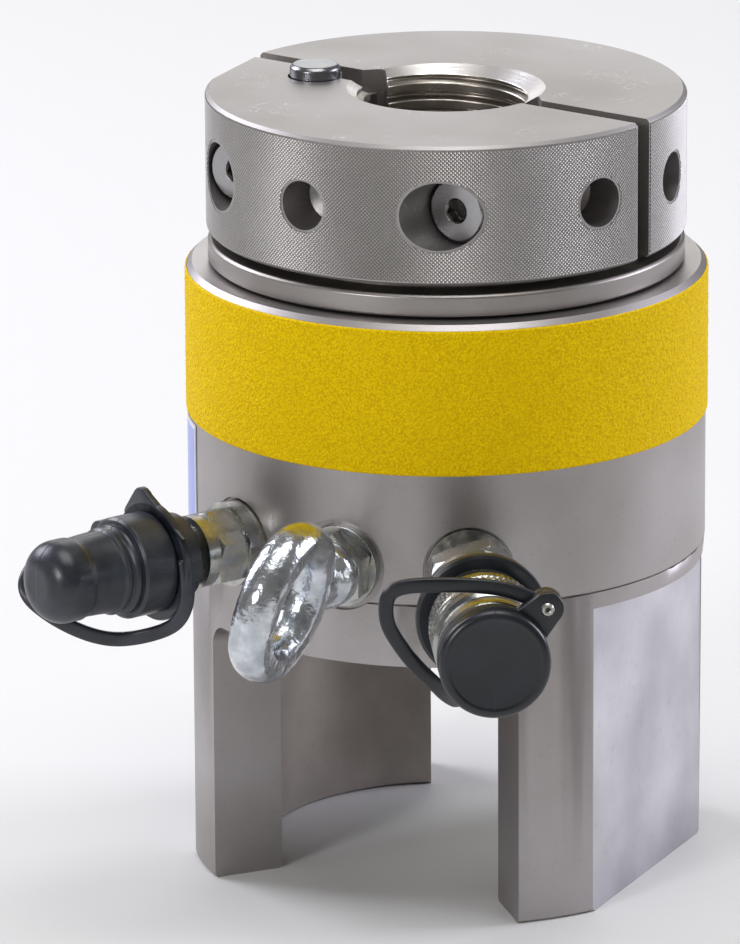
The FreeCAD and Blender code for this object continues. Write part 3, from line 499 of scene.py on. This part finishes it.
# Colour follows height: pale tips from wear, and pits painted dark as shade, with patchy wear over both.
height = add_node(tree, "ShaderNodeMapRange",
                  {"Value": radius.outputs["Value"], "From Min": nut_radius,
                   "From Max": nut_radius + 0.8 * knurl_depth})
wear = add_node(tree, "ShaderNodeTexNoise", {"Vector": place, "Scale": 0.045 / mm, "Detail": 2.0})
worn = add_node(tree, "ShaderNodeMath", {0: wear.outputs["Fac"], 1: 0.3, 2: height.outputs["Result"]},
                operation="MULTIPLY_ADD")
tones = add_node(tree, "ShaderNodeValToRGB", {"Fac": worn.outputs[0]})
tones.color_ramp.elements[0].position = 0.12
tones.color_ramp.elements[0].color = colour("6e6a66")
tones.color_ramp.elements[1].position = 1.0
tones.color_ramp.elements[1].color = colour("c4c1be")
tree.links.new(tones.outputs["Color"], shader.inputs["Base Color"])


def in_hole(x, y, z, side):
    """True where the nut's wall is drilled, flat or split. Side is -1 on the front half and 1 on the rear."""
    up = z - hole_level
    if side * y < split_half + split_margin:
        return True
    if side < 0 and x * math.cos(rim_flat_angle) + y * math.sin(rim_flat_angle) > rim_flat:
        return True
    for spread in bar_spread:
        a = math.radians(spread + 90 * side)
        across = -x * math.sin(a) + y * math.cos(a)
        outward = x * math.cos(a) + y * math.sin(a)
        if outward > 0 and math.hypot(across, up) < bar_hole + hole_margin:
            return True
    if side < 0:
        for place in (-screw_line, screw_line):
            if math.hypot(x - place, up) < screw_pocket + hole_margin:
                return True
    return False


for name, body in nut_bodies.items():
    side = -1 if name == "front_nut_half" else 1
    verts = []
    kept = []
    for j in range(rows + 1):
        z = nut_bottom + knurl_rim + (nut_top - nut_bottom - 2 * knurl_rim) * j / rows
        for i in range(columns):
            a = 2 * math.pi * i / columns
            r = nut_radius + (knurl_depth if (i + j) % 2 else hair)
            x = r * math.cos(a)
            y = r * math.sin(a)
            kept.append(not in_hole(x, y, z, side))
            verts.append((x * math.cos(nut_turn) - y * math.sin(nut_turn),
                          x * math.sin(nut_turn) + y * math.cos(nut_turn), z))
    faces = []
    for j in range(rows):
        for i in range(columns):
            a = j * columns + i
            b = j * columns + (i + 1) % columns
            c = b + columns
            d = a + columns
            if kept[a] and kept[b] and kept[c] and kept[d]:
                if (i + j) % 2:
                    faces += [(a, b, d), (b, c, d)]
                else:
                    faces += [(a, b, c), (a, c, d)]
    knurl = new_piece(name + "_knurl", verts, faces, knurled_steel, body, smooth=False)
    pick(knurl)
    bpy.ops.object.mode_set(mode="EDIT")
    bpy.ops.mesh.delete_loose()
    bpy.ops.object.mode_set(mode="OBJECT")


# Thread: metric coarse, single start, cut before the nut was split.
# Flat crests and sharp flanks, with a wide countersink turned at the mouth.
thread_steel = turned_steel("cut_thread_steel", "a59d93", "c9c3b9", 0.3, 14, "8a837a")
# The countersink is painted far paler than the faces round it, as a painted highlight, so it is the brightest
# steel on the nut.
mouth_highlight_steel = turned_steel("countersink_painted_highlight", "e6e1dd", "f5f3f1", 0.33, 14, "cdc6be")
bore_radius = 26.0 * mm
thread_root = 25.4 * mm
thread_crest = 23.4 * mm
thread_pitch = 5.0 * mm
thread_start = 0.36
root_share = 0.06
flank_share = 0.23
thread_mouth = 28.5 * mm
mouth_slope = 0.6
around = 160
per_turn = 32
relief_place = Vector((28.5, 2.8)) * mm
relief_radius = 6.5 * mm
corner_place = Vector((27.0, 0.3)) * mm
corner_half = 5 * math.sqrt(2) * mm


def end_angle(r, side, hinged):
    """Angle off the split line where one end of a half's thread stops at this radius, clear of the corner."""
    stop = math.asin(split_half / r)
    if side > 0:
        near_cut = corner_place.x - corner_place.y - corner_half
        far_cut = corner_place.x + corner_place.y + corner_half
        inner = math.acos(near_cut / (math.sqrt(2) * r)) - math.pi / 4
        outer = math.pi / 4 - math.acos(min(far_cut / (math.sqrt(2) * r), 1))
        return max(stop, min(inner, outer))
    if hinged:
        reach = relief_place.length
        past = math.atan2(relief_place.y, relief_place.x)
        return max(stop, past + math.acos((r * r + reach * reach - relief_radius ** 2) / (2 * r * reach)))
    return stop


def thread_radius(turns):
    """Radius of the bore at this many pitches above the start of a groove."""
    part = turns % 1
    rise = min(max(min(part, 1 - part) - root_share, 0) / flank_share, 1.0)
    return thread_root - (thread_root - thread_crest) * rise


for name, body in nut_bodies.items():
    side = -1 if name == "front_nut_half" else 1
    levels = int((nut_top - nut_bottom) / thread_pitch * per_turn)
    chamfered = []
    verts = []
    for j in range(levels + 1):
        z = nut_bottom + (nut_top - nut_bottom) * j / levels
        depth = min(z - nut_bottom, nut_top - z)
        mouth = thread_mouth - depth / mouth_slope
        for i in range(around + 1):
            a = math.pi * i / around * side
            cut = thread_radius(z / thread_pitch - a / (2 * math.pi) + thread_start)
            r = max(cut, mouth)
            chamfered.append(mouth > cut)
            first = end_angle(r, side, False)
            last = math.pi - end_angle(r, side, True)
            a = side * (first + (last - first) * i / around) + nut_turn
            verts.append((r * math.cos(a), r * math.sin(a), z))
    faces = []
    for j in range(levels):
        for i in range(around):
            a = j * (around + 1) + i
            quad = (a, a + 1, a + around + 2, a + around + 1)
            faces.append(quad if side < 0 else quad[::-1])
    ends = []
    for j in range(levels + 1):
        for i in (0, around):
            x, y, z = verts[j * (around + 1) + i]
            depth = min(z - nut_bottom, nut_top - z)
            r = max(math.hypot(x, y), bore_radius + hair, thread_mouth - depth)
            stop = end_angle(r, side, i > 0)
            a = side * (stop if i == 0 else math.pi - stop) + nut_turn
            ends.append((r * math.cos(a), r * math.sin(a), z))
    base = len(verts)
    cut_faces = len(faces)
    for j in range(levels):
        for k, i in enumerate((0, around)):
            a = j * (around + 1) + i
            b = a + around + 1
            c = base + 2 * j + k
            faces.append((a, b, c + 2, c) if k == 0 else (a, c, c + 2, b))
    thread = new_piece(name + "_thread", verts + ends, faces, thread_steel, body)
    thread.data.materials.append(mouth_highlight_steel)
    thread.data.materials.append(sawn_shaded_steel)
    # The thread's split ends take the darker steel, as painted shade in the gap.
    for k, face in enumerate(thread.data.polygons):
        if k >= cut_faces:
            face.material_index = 2
            face.use_smooth = False
        # Countersink faces take the pale steel: a painted highlight.
        elif all(chamfered[v] for v in face.vertices):
            face.material_index = 1


# Hinge pin and screws: ground and polished steel. The pin lets the front half swing open.
# Both low socket screws sit in round pockets, one locking the pin and one clamping the nut shut.
def ground_steel(name, tone):
    """Ground and polished steel with faint cloudy handling marks."""
    steel, tree, shader = new_finish(name, Metallic=1.0, Base_Color=colour(tone))
    place = add_node(tree, "ShaderNodeTexCoord").outputs["Object"]
    marks = add_node(tree, "ShaderNodeTexNoise", {"Vector": place, "Scale": 0.26 / mm, "Detail": 4.0})
    gloss = add_node(tree, "ShaderNodeMapRange",
                     {"Value": marks.outputs["Fac"], "To Min": 0.18, "To Max": 0.38})
    tree.links.new(gloss.outputs["Result"], shader.inputs["Roughness"])
    bump = add_node(tree, "ShaderNodeBump",
                    {"Height": marks.outputs["Fac"], "Strength": 0.08, "Distance": 0.2 * mm})
    tree.links.new(bump.outputs["Normal"], shader.inputs["Normal"])
    return steel


polished = ground_steel("polished_steel", "aaa9aa")
pin_steel = ground_steel("hardened_pin_steel", "838487")
softened("hinge_pin", 0.9 * mm, "front_nut", pin_steel, rounds=4)
# Inside each hex socket the steel is dark from oil and from painted shade in the recess.
socket_oil_and_shade = turned_steel("oily_screw_socket_painted_shade", "55524f", "827e7a", 0.22, 2, "3a3836")
socket_radius = 3.8 * mm
socket_depth = 4.5 * mm
for name, body, line in (("pin_lock_screw", "front_nut", -screw_line),
                         ("clamp_screw", "clamp_screw", screw_line)):
    screw = softened(name, 0.25 * mm, body, polished)
    screw.data.materials.append(socket_oil_and_shade)
    along = Matrix.Rotation(-nut_turn, 4, "Z")
    head = min((along @ vert.co).y for vert in screw.data.vertices)
    for face in screw.data.polygons:
        spot = along @ face.center
        off = math.hypot(spot.x - line, spot.z - hole_level)
        if off < socket_radius and head + near < spot.y < head + socket_depth:
            face.material_index = 1


# Fittings: steel, turned from hexagon bar and zinc plated bright.
# The thin plating is slightly yellow and blue in places.
port_angle = math.radians(28.65)
port_height = 106.5 * mm


def zinc_plated(name, dark, light, roughness, pit, drift_size=7.7, rough=0.25, middle="b3b2a9"):
    """Bright zinc: drifting tints of one size and pits of another, both in millimetres."""
    zinc, tree, shader = new_finish(name, Metallic=1.0)
    place = add_node(tree, "ShaderNodeTexCoord").outputs["Object"]
    drift = add_node(tree, "ShaderNodeTexNoise",
                     {"Vector": place, "Scale": 1 / (drift_size * mm), "Detail": 4.0})
    tones = add_node(tree, "ShaderNodeValToRGB", {"Fac": drift.outputs["Fac"]})
    tones.color_ramp.elements[0].position = 0.36
    tones.color_ramp.elements[0].color = colour(dark)
    tones.color_ramp.elements[1].position = 0.6
    tones.color_ramp.elements[1].color = colour(light)
    tint = tones.color_ramp.elements.new(0.5)
    tint.color = colour(middle)
    tree.links.new(tones.outputs["Color"], shader.inputs["Base Color"])
    gloss = add_node(tree, "ShaderNodeMapRange",
                     {"Value": drift.outputs["Fac"], "From Min": 0.3, "From Max": 0.7,
                      "To Min": roughness + 0.08, "To Max": roughness - 0.05})
    tree.links.new(gloss.outputs["Result"], shader.inputs["Roughness"])
    pits = add_node(tree, "ShaderNodeTexNoise", {"Vector": place, "Scale": 1 / (pit * mm), "Detail": 3.0})
    bump = add_node(tree, "ShaderNodeBump",
                    {"Height": pits.outputs["Fac"], "Strength": rough, "Distance": 0.2 * mm})
    tree.links.new(bump.outputs["Normal"], shader.inputs["Normal"])
    return zinc


zinc = zinc_plated("bright_zinc_plate", "999c9d", "b6b9ba", 0.26, 1.6)
for name in ("left_nipple", "right_adapter", "coupler_body", "eye_nut", "eye_washer"):
    softened(name, 0.25 * mm, "cylinder", zinc)


# Coupler sleeve: a steel ring that slides on the coupler, with ribs and a knurled belt for a dry grip.
# Turned, rolled with a straight knurl at its back end, zinc plated, and dulled by hands and oil.
sleeve_outer = 15.6 * mm
knurl_start = 126.0 * mm
knurl_end = 131.8 * mm
knurl_cut = 0.3 * mm
ridges = 60
rib_count = 4
first_rib = 128.4
rib_step = 3.2
lathe_smooth_angle = math.radians(32)
worn_zinc = zinc_plated("worn_sleeve_plate", "6d6e70", "a6a8a7", 0.24, 1.2)


def port_place(angle):
    """Turns a piece that was made along Z so that it points out of the cylinder at this angle."""
    forward = Matrix.Rotation(math.pi / 2, 4, "X")
    return Matrix.Translation((0, 0, port_height)) @ Matrix.Rotation(angle, 4, "Z") @ forward


def lathed(name, outline, steps, finish, body):
    """Piece spun about a port's own line from (radius, height) points in millimetres."""
    mesh = bpy.data.meshes.new(name)
    ends = [(k, k + 1) for k in range(len(outline) - 1)]
    mesh.from_pydata([(r * mm, 0, z * mm) for r, z in outline], ends, [])
    piece = bpy.data.objects.new(name, mesh)
    bpy.context.scene.collection.objects.link(piece)
    pick(piece)
    bpy.ops.object.mode_set(mode="EDIT")
    bpy.ops.mesh.select_all(action="SELECT")
    bpy.ops.mesh.spin(steps=steps, angle=2 * math.pi, center=(0, 0, 0), axis=(0, 0, 1))
    bpy.ops.mesh.select_all(action="SELECT")
    bpy.ops.mesh.remove_doubles(threshold=weld_gap)
    bpy.ops.mesh.normals_make_consistent(inside=False)
    bpy.ops.object.mode_set(mode="OBJECT")
    bpy.ops.object.shade_smooth_by_angle(angle=lathe_smooth_angle)
    piece.data.materials.append(finish)
    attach(piece, body)
    return piece


outline = [(12.5, 125), (15.0, 125), (15.6, 125.6)]
for belt in range(rib_count):
    z = first_rib + rib_step * belt
    outline += [(15.6, z), (15.3, z + 0.2), (14.8, z + 0.6), (14.8, z + 1.3), (15.3, z + 1.7),
                (15.6, z + 1.9)]
outline += [(15.6, 143), (15.3, 143.3), (14.6, 144.2), (14.6, 148.6), (15.2, 149.4), (15.2, 151.6),
            (14.6, 152.4), (14.0, 153), (12.5, 153), (12.5, 125)]
sleeve = lathed("ribbed_sleeve", outline, 4 * ridges, worn_zinc, "sleeve")
for vert in sleeve.data.vertices:
    r = vert.co.to_2d().length
    if r > sleeve_outer - near and knurl_start < vert.co.z < knurl_end:
        a = math.atan2(vert.co.y, vert.co.x)
        cut = knurl_cut * (0.5 + 0.5 * math.cos(a * ridges)) ** 2
        vert.co.x *= 1 - cut / r
        vert.co.y *= 1 - cut / r
sleeve.data.transform(port_place(port_angle))
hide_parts("coupler_sleeve")


# Bonded seals: a steel ring with a rubber lip, squeezed between each fitting and its spotface.
# Only their dark outer edges show.
washer_edge = zinc_plated("dull_seal_ring", "6d6c68", "8a8984", 0.4, 2.0)
for name in ("left_port_seal", "right_port_seal"):
    softened(name, 0.2 * mm, "cylinder", washer_edge)


# Dust caps: moulded synthetic rubber, satin from the mould, that push over the couplings.
# The left one is long and domed, with a mould line along it. The right one is a short lid.
def moulded_rubber(name, angle, dark, light):
    """Slate grey rubber with soft bloom, a mould line in line with a port, and the mould's grain.

    A real mould grain is finer than a tenth of a millimetre, and is drawn coarser so that it shows.
    """
    rubber, tree, shader = new_finish(name, Specular_IOR_Level=0.55)
    place = add_node(tree, "ShaderNodeTexCoord").outputs["Object"]
    bloom = add_node(tree, "ShaderNodeTexNoise", {"Vector": place, "Scale": 0.12 / mm, "Detail": 4.0})
    tones = add_node(tree, "ShaderNodeValToRGB", {"Fac": bloom.outputs["Fac"]})
    tones.color_ramp.elements[0].position = 0.35
    tones.color_ramp.elements[0].color = colour(dark)
    tones.color_ramp.elements[1].position = 0.7
    tones.color_ramp.elements[1].color = colour(light)
    tree.links.new(tones.outputs["Color"], shader.inputs["Base Color"])
    gloss = add_node(tree, "ShaderNodeMapRange",
                     {"Value": bloom.outputs["Fac"], "From Min": 0.3, "From Max": 0.7,
                      "To Min": 0.28, "To Max": 0.4})
    tree.links.new(gloss.outputs["Result"], shader.inputs["Roughness"])
    turned = add_node(tree, "ShaderNodeMapping", {"Vector": place, "Rotation": (0, 0, -angle)})
    axes = add_node(tree, "ShaderNodeSeparateXYZ", {0: turned.outputs[0]})
    side = add_node(tree, "ShaderNodeMath", {0: axes.outputs[0]}, operation="ABSOLUTE")
    line = add_node(tree, "ShaderNodeMapRange",
                    {"Value": side.outputs[0], "From Min": 0.0, "From Max": 0.35 * mm,
                     "To Min": 1.0, "To Max": 0.0})
    grain = add_node(tree, "ShaderNodeTexNoise", {"Vector": place, "Scale": 2.6 / mm, "Detail": 1.0})
    height = add_node(tree, "ShaderNodeMath", {0: grain.outputs["Fac"], 1: 0.25, 2: line.outputs["Result"]},
                      operation="MULTIPLY_ADD")
    bump = add_node(tree, "ShaderNodeBump",
                    {"Height": height.outputs[0], "Strength": 0.35, "Distance": 0.2 * mm})
    tree.links.new(bump.outputs["Normal"], shader.inputs["Normal"])
    return rubber


left_rubber = moulded_rubber("moulded_rubber_left", -port_angle, "1e2229", "31363f")
# The right rubber is the same rubber painted darker, as shade over the right cap and its strap.
right_rubber_shaded = moulded_rubber("moulded_rubber_right_painted_shade", port_angle, "12151a", "1d2128")
softened("left_dust_cap", 0.35 * mm, "left_cap", left_rubber, rounds=3)
lid_outline = [(0, 141), (6.7, 141), (7.7, 142), (7.7, 153.4), (14.7, 153.4), (15.3, 153.6), (15.5, 154.1),
               (15.5, 156.4), (15.25, 156.6), (15.25, 157.0), (15.5, 157.2), (15.5, 159.4), (15.45, 159.83),
               (15.33, 160.24), (15.13, 160.62), (14.86, 160.96), (14.52, 161.23), (14.14, 161.43),
               (13.73, 161.56), (13.3, 161.6), (12.9, 161.55), (12.6, 161.35), (12.3, 161.3), (0, 161.3)]
lid = lathed("short_lid", lid_outline, 160, right_rubber_shaded, "right_cap")
lid.data.transform(port_place(port_angle))
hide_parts("right_dust_cap")
ear_middle = Vector((14.6, 14.2)) * mm
ear_radius = 4.6 * mm
ear_root = 9 * mm
root_half = 6.4 * mm
ear_level = 153.8
ear_thick = 3 * mm
inward = -ear_middle.normalized()
sideways = Vector((inward.y, -inward.x))


def flat_plate(name, outline, level, thickness):
    """Flat plate of this thickness, cut to an outline of (x, y) points at this level."""
    mesh = bpy.data.meshes.new(name)
    mesh.from_pydata([(x, y, level) for x, y in outline], [], [tuple(range(len(outline)))])
    plate = bpy.data.objects.new(name, mesh)
    bpy.context.scene.collection.objects.link(plate)
    pick(plate)
    bpy.ops.object.mode_set(mode="EDIT")
    bpy.ops.mesh.select_all(action="SELECT")
    bpy.ops.mesh.extrude_region_move(TRANSFORM_OT_translate={"value": (0, 0, thickness)})
    bpy.ops.mesh.select_all(action="SELECT")
    bpy.ops.mesh.normals_make_consistent(inside=False)
    bpy.ops.object.mode_set(mode="OBJECT")
    return plate


outline = [ear_middle + inward * ear_root + sideways * root_half * side for side in (-1, 1)]
for a in range(0, 181, 9):
    aside = sideways * math.cos(math.radians(a))
    outline.append(ear_middle + (aside - inward * math.sin(math.radians(a))) * ear_radius)
ear = flat_plate("lid_ear", outline, ear_level * mm, ear_thick)
rim = ear.modifiers.new("moulded_edge", "BEVEL")
rim.width = 0.5 * mm
rim.segments = 3
rim.limit_method = "ANGLE"
rim.angle_limit = math.radians(50)
bpy.ops.object.modifier_apply(modifier=rim.name)
bpy.ops.object.shade_smooth_by_angle(angle=smooth_angle)
ear.data.transform(port_place(port_angle))
ear.data.materials.append(right_rubber_shaded)
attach(ear, "right_cap")


# Left strap: moulded in one with a collar that sits on the nipple and a pointed pull plate.
# The flat strap loops under the cap and is held on a lug on the cap's far side.
strap_wide = 4.2 * mm
strap_thick = 2.2 * mm
strap_sides = 20
strap_corner = 0.6
tab_thick = 2.3 * mm
tab_edge = 0.45 * mm


def strap_band(name, route, facing, finish, angle):
    """Moulded flat strap, swept along one smooth curve. Its wide side looks along the facing line."""
    curve = bpy.data.curves.new(name + "_line", "CURVE")
    curve.dimensions = "3D"
    curve.resolution_u = 10
    spline = curve.splines.new("NURBS")
    spline.points.add(len(route) - 1)
    for point, place in zip(spline.points, route):
        point.co = [c * mm for c in place] + [1]
    spline.order_u = 3
    spline.use_endpoint_u = True
    line = bpy.data.objects.new(name + "_line", curve)
    path = [v.co.copy() for v in bpy.data.meshes.new_from_object(line).vertices]
    verts = []
    for k, here in enumerate(path):
        on = (path[min(k + 1, len(path) - 1)] - path[max(k - 1, 0)]).normalized()
        across = on.cross(Vector(facing)).normalized()
        out = across.cross(on).normalized()
        for j in range(strap_sides):
            a = 2 * math.pi * j / strap_sides
            c, s = math.cos(a), math.sin(a)
            wide = math.copysign(abs(c) ** strap_corner, c) * strap_wide / 2
            thick = math.copysign(abs(s) ** strap_corner, s) * strap_thick / 2
            verts.append(port_place(angle) @ (here + across * wide + out * thick))
    faces = []
    for k in range(len(path) - 1):
        for j in range(strap_sides):
            a = strap_sides * k + j
            b = strap_sides * k + (j + 1) % strap_sides
            faces.append((a, b, b + strap_sides, a + strap_sides))
    faces += [tuple(range(strap_sides - 1, -1, -1)), tuple(range(len(verts) - strap_sides, len(verts)))]
    band = new_piece(name, verts, faces, finish, None)
    pick(band)
    bpy.ops.object.mode_set(mode="EDIT")
    bpy.ops.mesh.select_all(action="SELECT")
    bpy.ops.mesh.normals_make_consistent(inside=False)
    bpy.ops.object.mode_set(mode="OBJECT")
    bpy.data.objects.remove(line)
    return band


outline = [(8.95, 96), (11.9, 96), (12.4, 96.5), (12.4, 103), (13.2, 103.4), (16.8, 103.4), (17.2, 103.8),
           (17.2, 105.2), (16.8, 105.7), (8.95, 105.7), (8.95, 96)]
collar = lathed("left_strap_collar", outline, 96, left_rubber, "cylinder")
collar.data.transform(port_place(-port_angle))
tab = [(-13, 11.5), (-12.3, 13.1), (-10, 16.1), (-7.6, 19.2), (-6.4, 20.2), (-5, 20.6), (-3.6, 20.4),
       (-2.4, 19.8), (-1.5, 19.1), (7.5, 14.6), (16, 10.1), (0, 9.5)]
pull = flat_plate("left_pull_tab", [(x * mm, y * mm) for x, y in tab], 103.4 * mm, tab_thick)
bpy.ops.object.mode_set(mode="EDIT")
bpy.ops.mesh.select_all(action="SELECT")
bpy.ops.mesh.bevel(offset=tab_edge, segments=3, affect="EDGES")
bpy.ops.object.mode_set(mode="OBJECT")
bpy.ops.object.shade_smooth_by_angle(angle=smooth_angle)
pull.data.transform(port_place(-port_angle))
pull.data.materials.append(left_rubber)
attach(pull, "cylinder")
left_route = [(15.2, 4, 104.5), (16.6, -4, 104.3), (15, -12, 104.6), (9.5, -18, 106), (-1, -22.2, 114),
              (-3, -19.6, 124), (-8, -13.5, 134), (-15.5, -6.5, 139.5), (-18.6, 0, 133.5), (-15.9, 4.6, 123),
              (-15.9, 4.6, 112)]
left_band = strap_band("left_strap_band", left_route, (1, -0.1, 0.5), left_rubber, -port_angle)
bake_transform(left_band)
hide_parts("left_strap")


# Right strap: a ring in the coupler's groove, and a flat strap that loops round to the cap.
# A tubular rivet pins its round end on the cap's lug.
end_gap = 0.1
end_half = 1.6
strap_level = ear_level - end_gap - end_half
outline = [(14.55, 116), (17.5, 116), (18.3, 116.5), (18.5, 117.7), (18.3, 118.9), (17.5, 119.4),
           (14.55, 119.4), (14.55, 116)]
groove = lathed("right_strap_ring", outline, 96, right_rubber_shaded, "cylinder")
groove.data.transform(port_place(port_angle))
right_route = [(13.5, 14.4, strap_level), (7, 17.9, strap_level - 0.4), (-2, 19.7, strap_level - 1.0),
               (-16, 20.3, strap_level - 1.4), (-25, 19.9, strap_level - 1.6),
               (-28.9, 17.4, strap_level - 1.9), (-29.1, 10, strap_level - 2.3),
               (-26.3, 4.2, strap_level - 3), (-21, -3.5, strap_level - 3.8), (-15.4, -9.6, 146.3),
               (-11.8, -14.6, 142), (-6.5, -20.5, 131), (-2.8, -16.8, 118)]
right_band = strap_band("right_strap_band", right_route, (0.1, 0, 1), right_rubber_shaded, port_angle)
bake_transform(right_band)
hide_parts("right_strap")
end_back = strap_level - end_half
end_front = strap_level + end_half
outline = [(1.4, end_back), (4.2, end_back), (4.6, end_back + 0.4), (4.6, end_front - 0.4), (4.2, end_front),
           (1.4, end_front), (1.4, end_back)]
tip = lathed("right_strap_end", outline, 48, right_rubber_shaded, "right_cap")
tip.data.transform(port_place(port_angle) @ Matrix.Translation(ear_middle.to_3d()))
ear_face = 156.9
rivet_back = 149.8
rivet_steel = zinc_plated("dull_rivet_steel", "77767a", "a6a7aa", 0.3, 1.0)
outline = [(0.5, rivet_back), (2.3, rivet_back), (2.3, rivet_back + 0.6), (1.35, rivet_back + 0.6),
           (1.35, ear_face), (1.8, ear_face), (1.9, ear_face + 0.3), (1.5, ear_face + 0.75),
           (1.0, ear_face + 0.8), (0.6, ear_face + 0.5), (0.5, ear_face), (0.5, rivet_back)]
rivet = lathed("tubular_rivet", outline, 48, rivet_steel, "right_cap")
rivet.data.transform(port_place(port_angle) @ Matrix.Translation(ear_middle.to_3d()))
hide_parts("cap_rivet")


# Eye bolt: drop forged in one piece with its collar, then zinc plated.
# The forging is flattened on both sides, dented and pitted all over, so its plating sparkles.
eye_centre = 113.0 * mm
eye_mean = 18.2 * mm
eye_radial = 5.5 * mm
eye_side = 6.5 * mm
eye_flat = 5.6 * mm
flat_crown = 0.35
eye_tilt = math.radians(-15)
dents = ((0.2 * mm, 5.0 * mm), (0.12 * mm, 1.8 * mm), (0.05 * mm, 0.8 * mm))
forged_zinc = zinc_plated("forged_zinc_plate", "b3b9bf", "dbe0e5", 0.2, 1.1, 6.0, 0.75, "c6cbd0")
deselect()
bpy.ops.mesh.primitive_torus_add(major_segments=300, minor_segments=96,
                                 major_radius=eye_mean, minor_radius=eye_radial)
eye = bpy.context.object
eye.name = "forged_eye"
for vert in eye.data.vertices:
    x, y, z = vert.co
    z *= eye_side / eye_radial
    if abs(z) > eye_flat:
        z = math.copysign(eye_flat + (abs(z) - eye_flat) * flat_crown, z)
    spot = Vector((x, y, z))
    vert.co = spot + vert.normal * sum(deep * noise.noise(spot / wide) for deep, wide in dents)
on_edge = Matrix.Rotation(math.pi / 2, 4, "Y")
eye.data.transform(Matrix.Translation((0, 0, eye_centre)) @ Matrix.Rotation(eye_tilt, 4, "Z") @ on_edge)
eye.data.transform(port_place(0))
for face in eye.data.polygons:
    face.use_smooth = True
eye.data.materials.append(forged_zinc)
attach(eye, "cylinder")
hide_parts("eye_bolt")
outline = [(0, 54), (5, 54), (6, 55), (6, 83.1), (8.9, 83.1), (9.5, 83.6), (9.5, 87.2), (9.0, 88.2),
           (8.0, 89), (7.2, 90.2), (6.7, 92), (6.5, 95), (0, 96)]
neck = lathed("eye_collar", outline, 96, forged_zinc, "cylinder")
neck.data.transform(port_place(0))


# Inner parts: what stands hidden inside the cylinder and the couplings keeps its model shape.
# Ground steel, rubber and a pale plastic that slides against oil.
seal_plastic, tree, shader = new_finish("seal_plastic", Roughness=0.6)
place = add_node(tree, "ShaderNodeTexCoord").outputs["Object"]
cloud = add_node(tree, "ShaderNodeTexNoise", {"Vector": place, "Scale": 0.15 / mm, "Detail": 2.0})
tones = add_node(tree, "ShaderNodeValToRGB", {"Fac": cloud.outputs["Fac"]})
tones.color_ramp.elements[0].color = colour("cfcac0")
tones.color_ramp.elements[1].color = colour("e0dcd4")
tree.links.new(tones.outputs["Color"], shader.inputs["Base Color"])
by_slot = {"bare_steel": body_steel, "bright_steel": polished, "dark_steel": oiled_shaded_steel,
           "spring_steel": polished, "zinc_plate": zinc, "yellow_grip": tape, "blue_label": film,
           "cap_rubber": left_rubber, "seal_rubber": right_rubber_shaded, "seal_plastic": seal_plastic}
for piece in nodes.values():
    old = piece.data.materials[0].name.split(".")[0]
    piece.data.materials[0] = by_slot[old]


# Springs: each coil is copied from the model and rides, whole, on the body where it is seated. The part that
# presses each one is listed too, but nothing moves the coil with it.
pressed_by = (("return_spring", "cylinder", "piston_stroke"),
              ("clamp_spring", "front_nut", "clamp_screw_slide"),
              ("sleeve_spring", "cylinder", "sleeve_pull"),
              ("coupler_poppet_spring", "cylinder", "coupler_valve_push"),
              ("left_poppet_spring", "cylinder", "nipple_valve_push"))
for name, body, mover in pressed_by:
    wire = bpy.data.objects.new(name + "_coil", nodes[name].data.copy())
    bpy.context.scene.collection.objects.link(wire)
    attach(wire, body)
    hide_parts(name)
    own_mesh(wire)
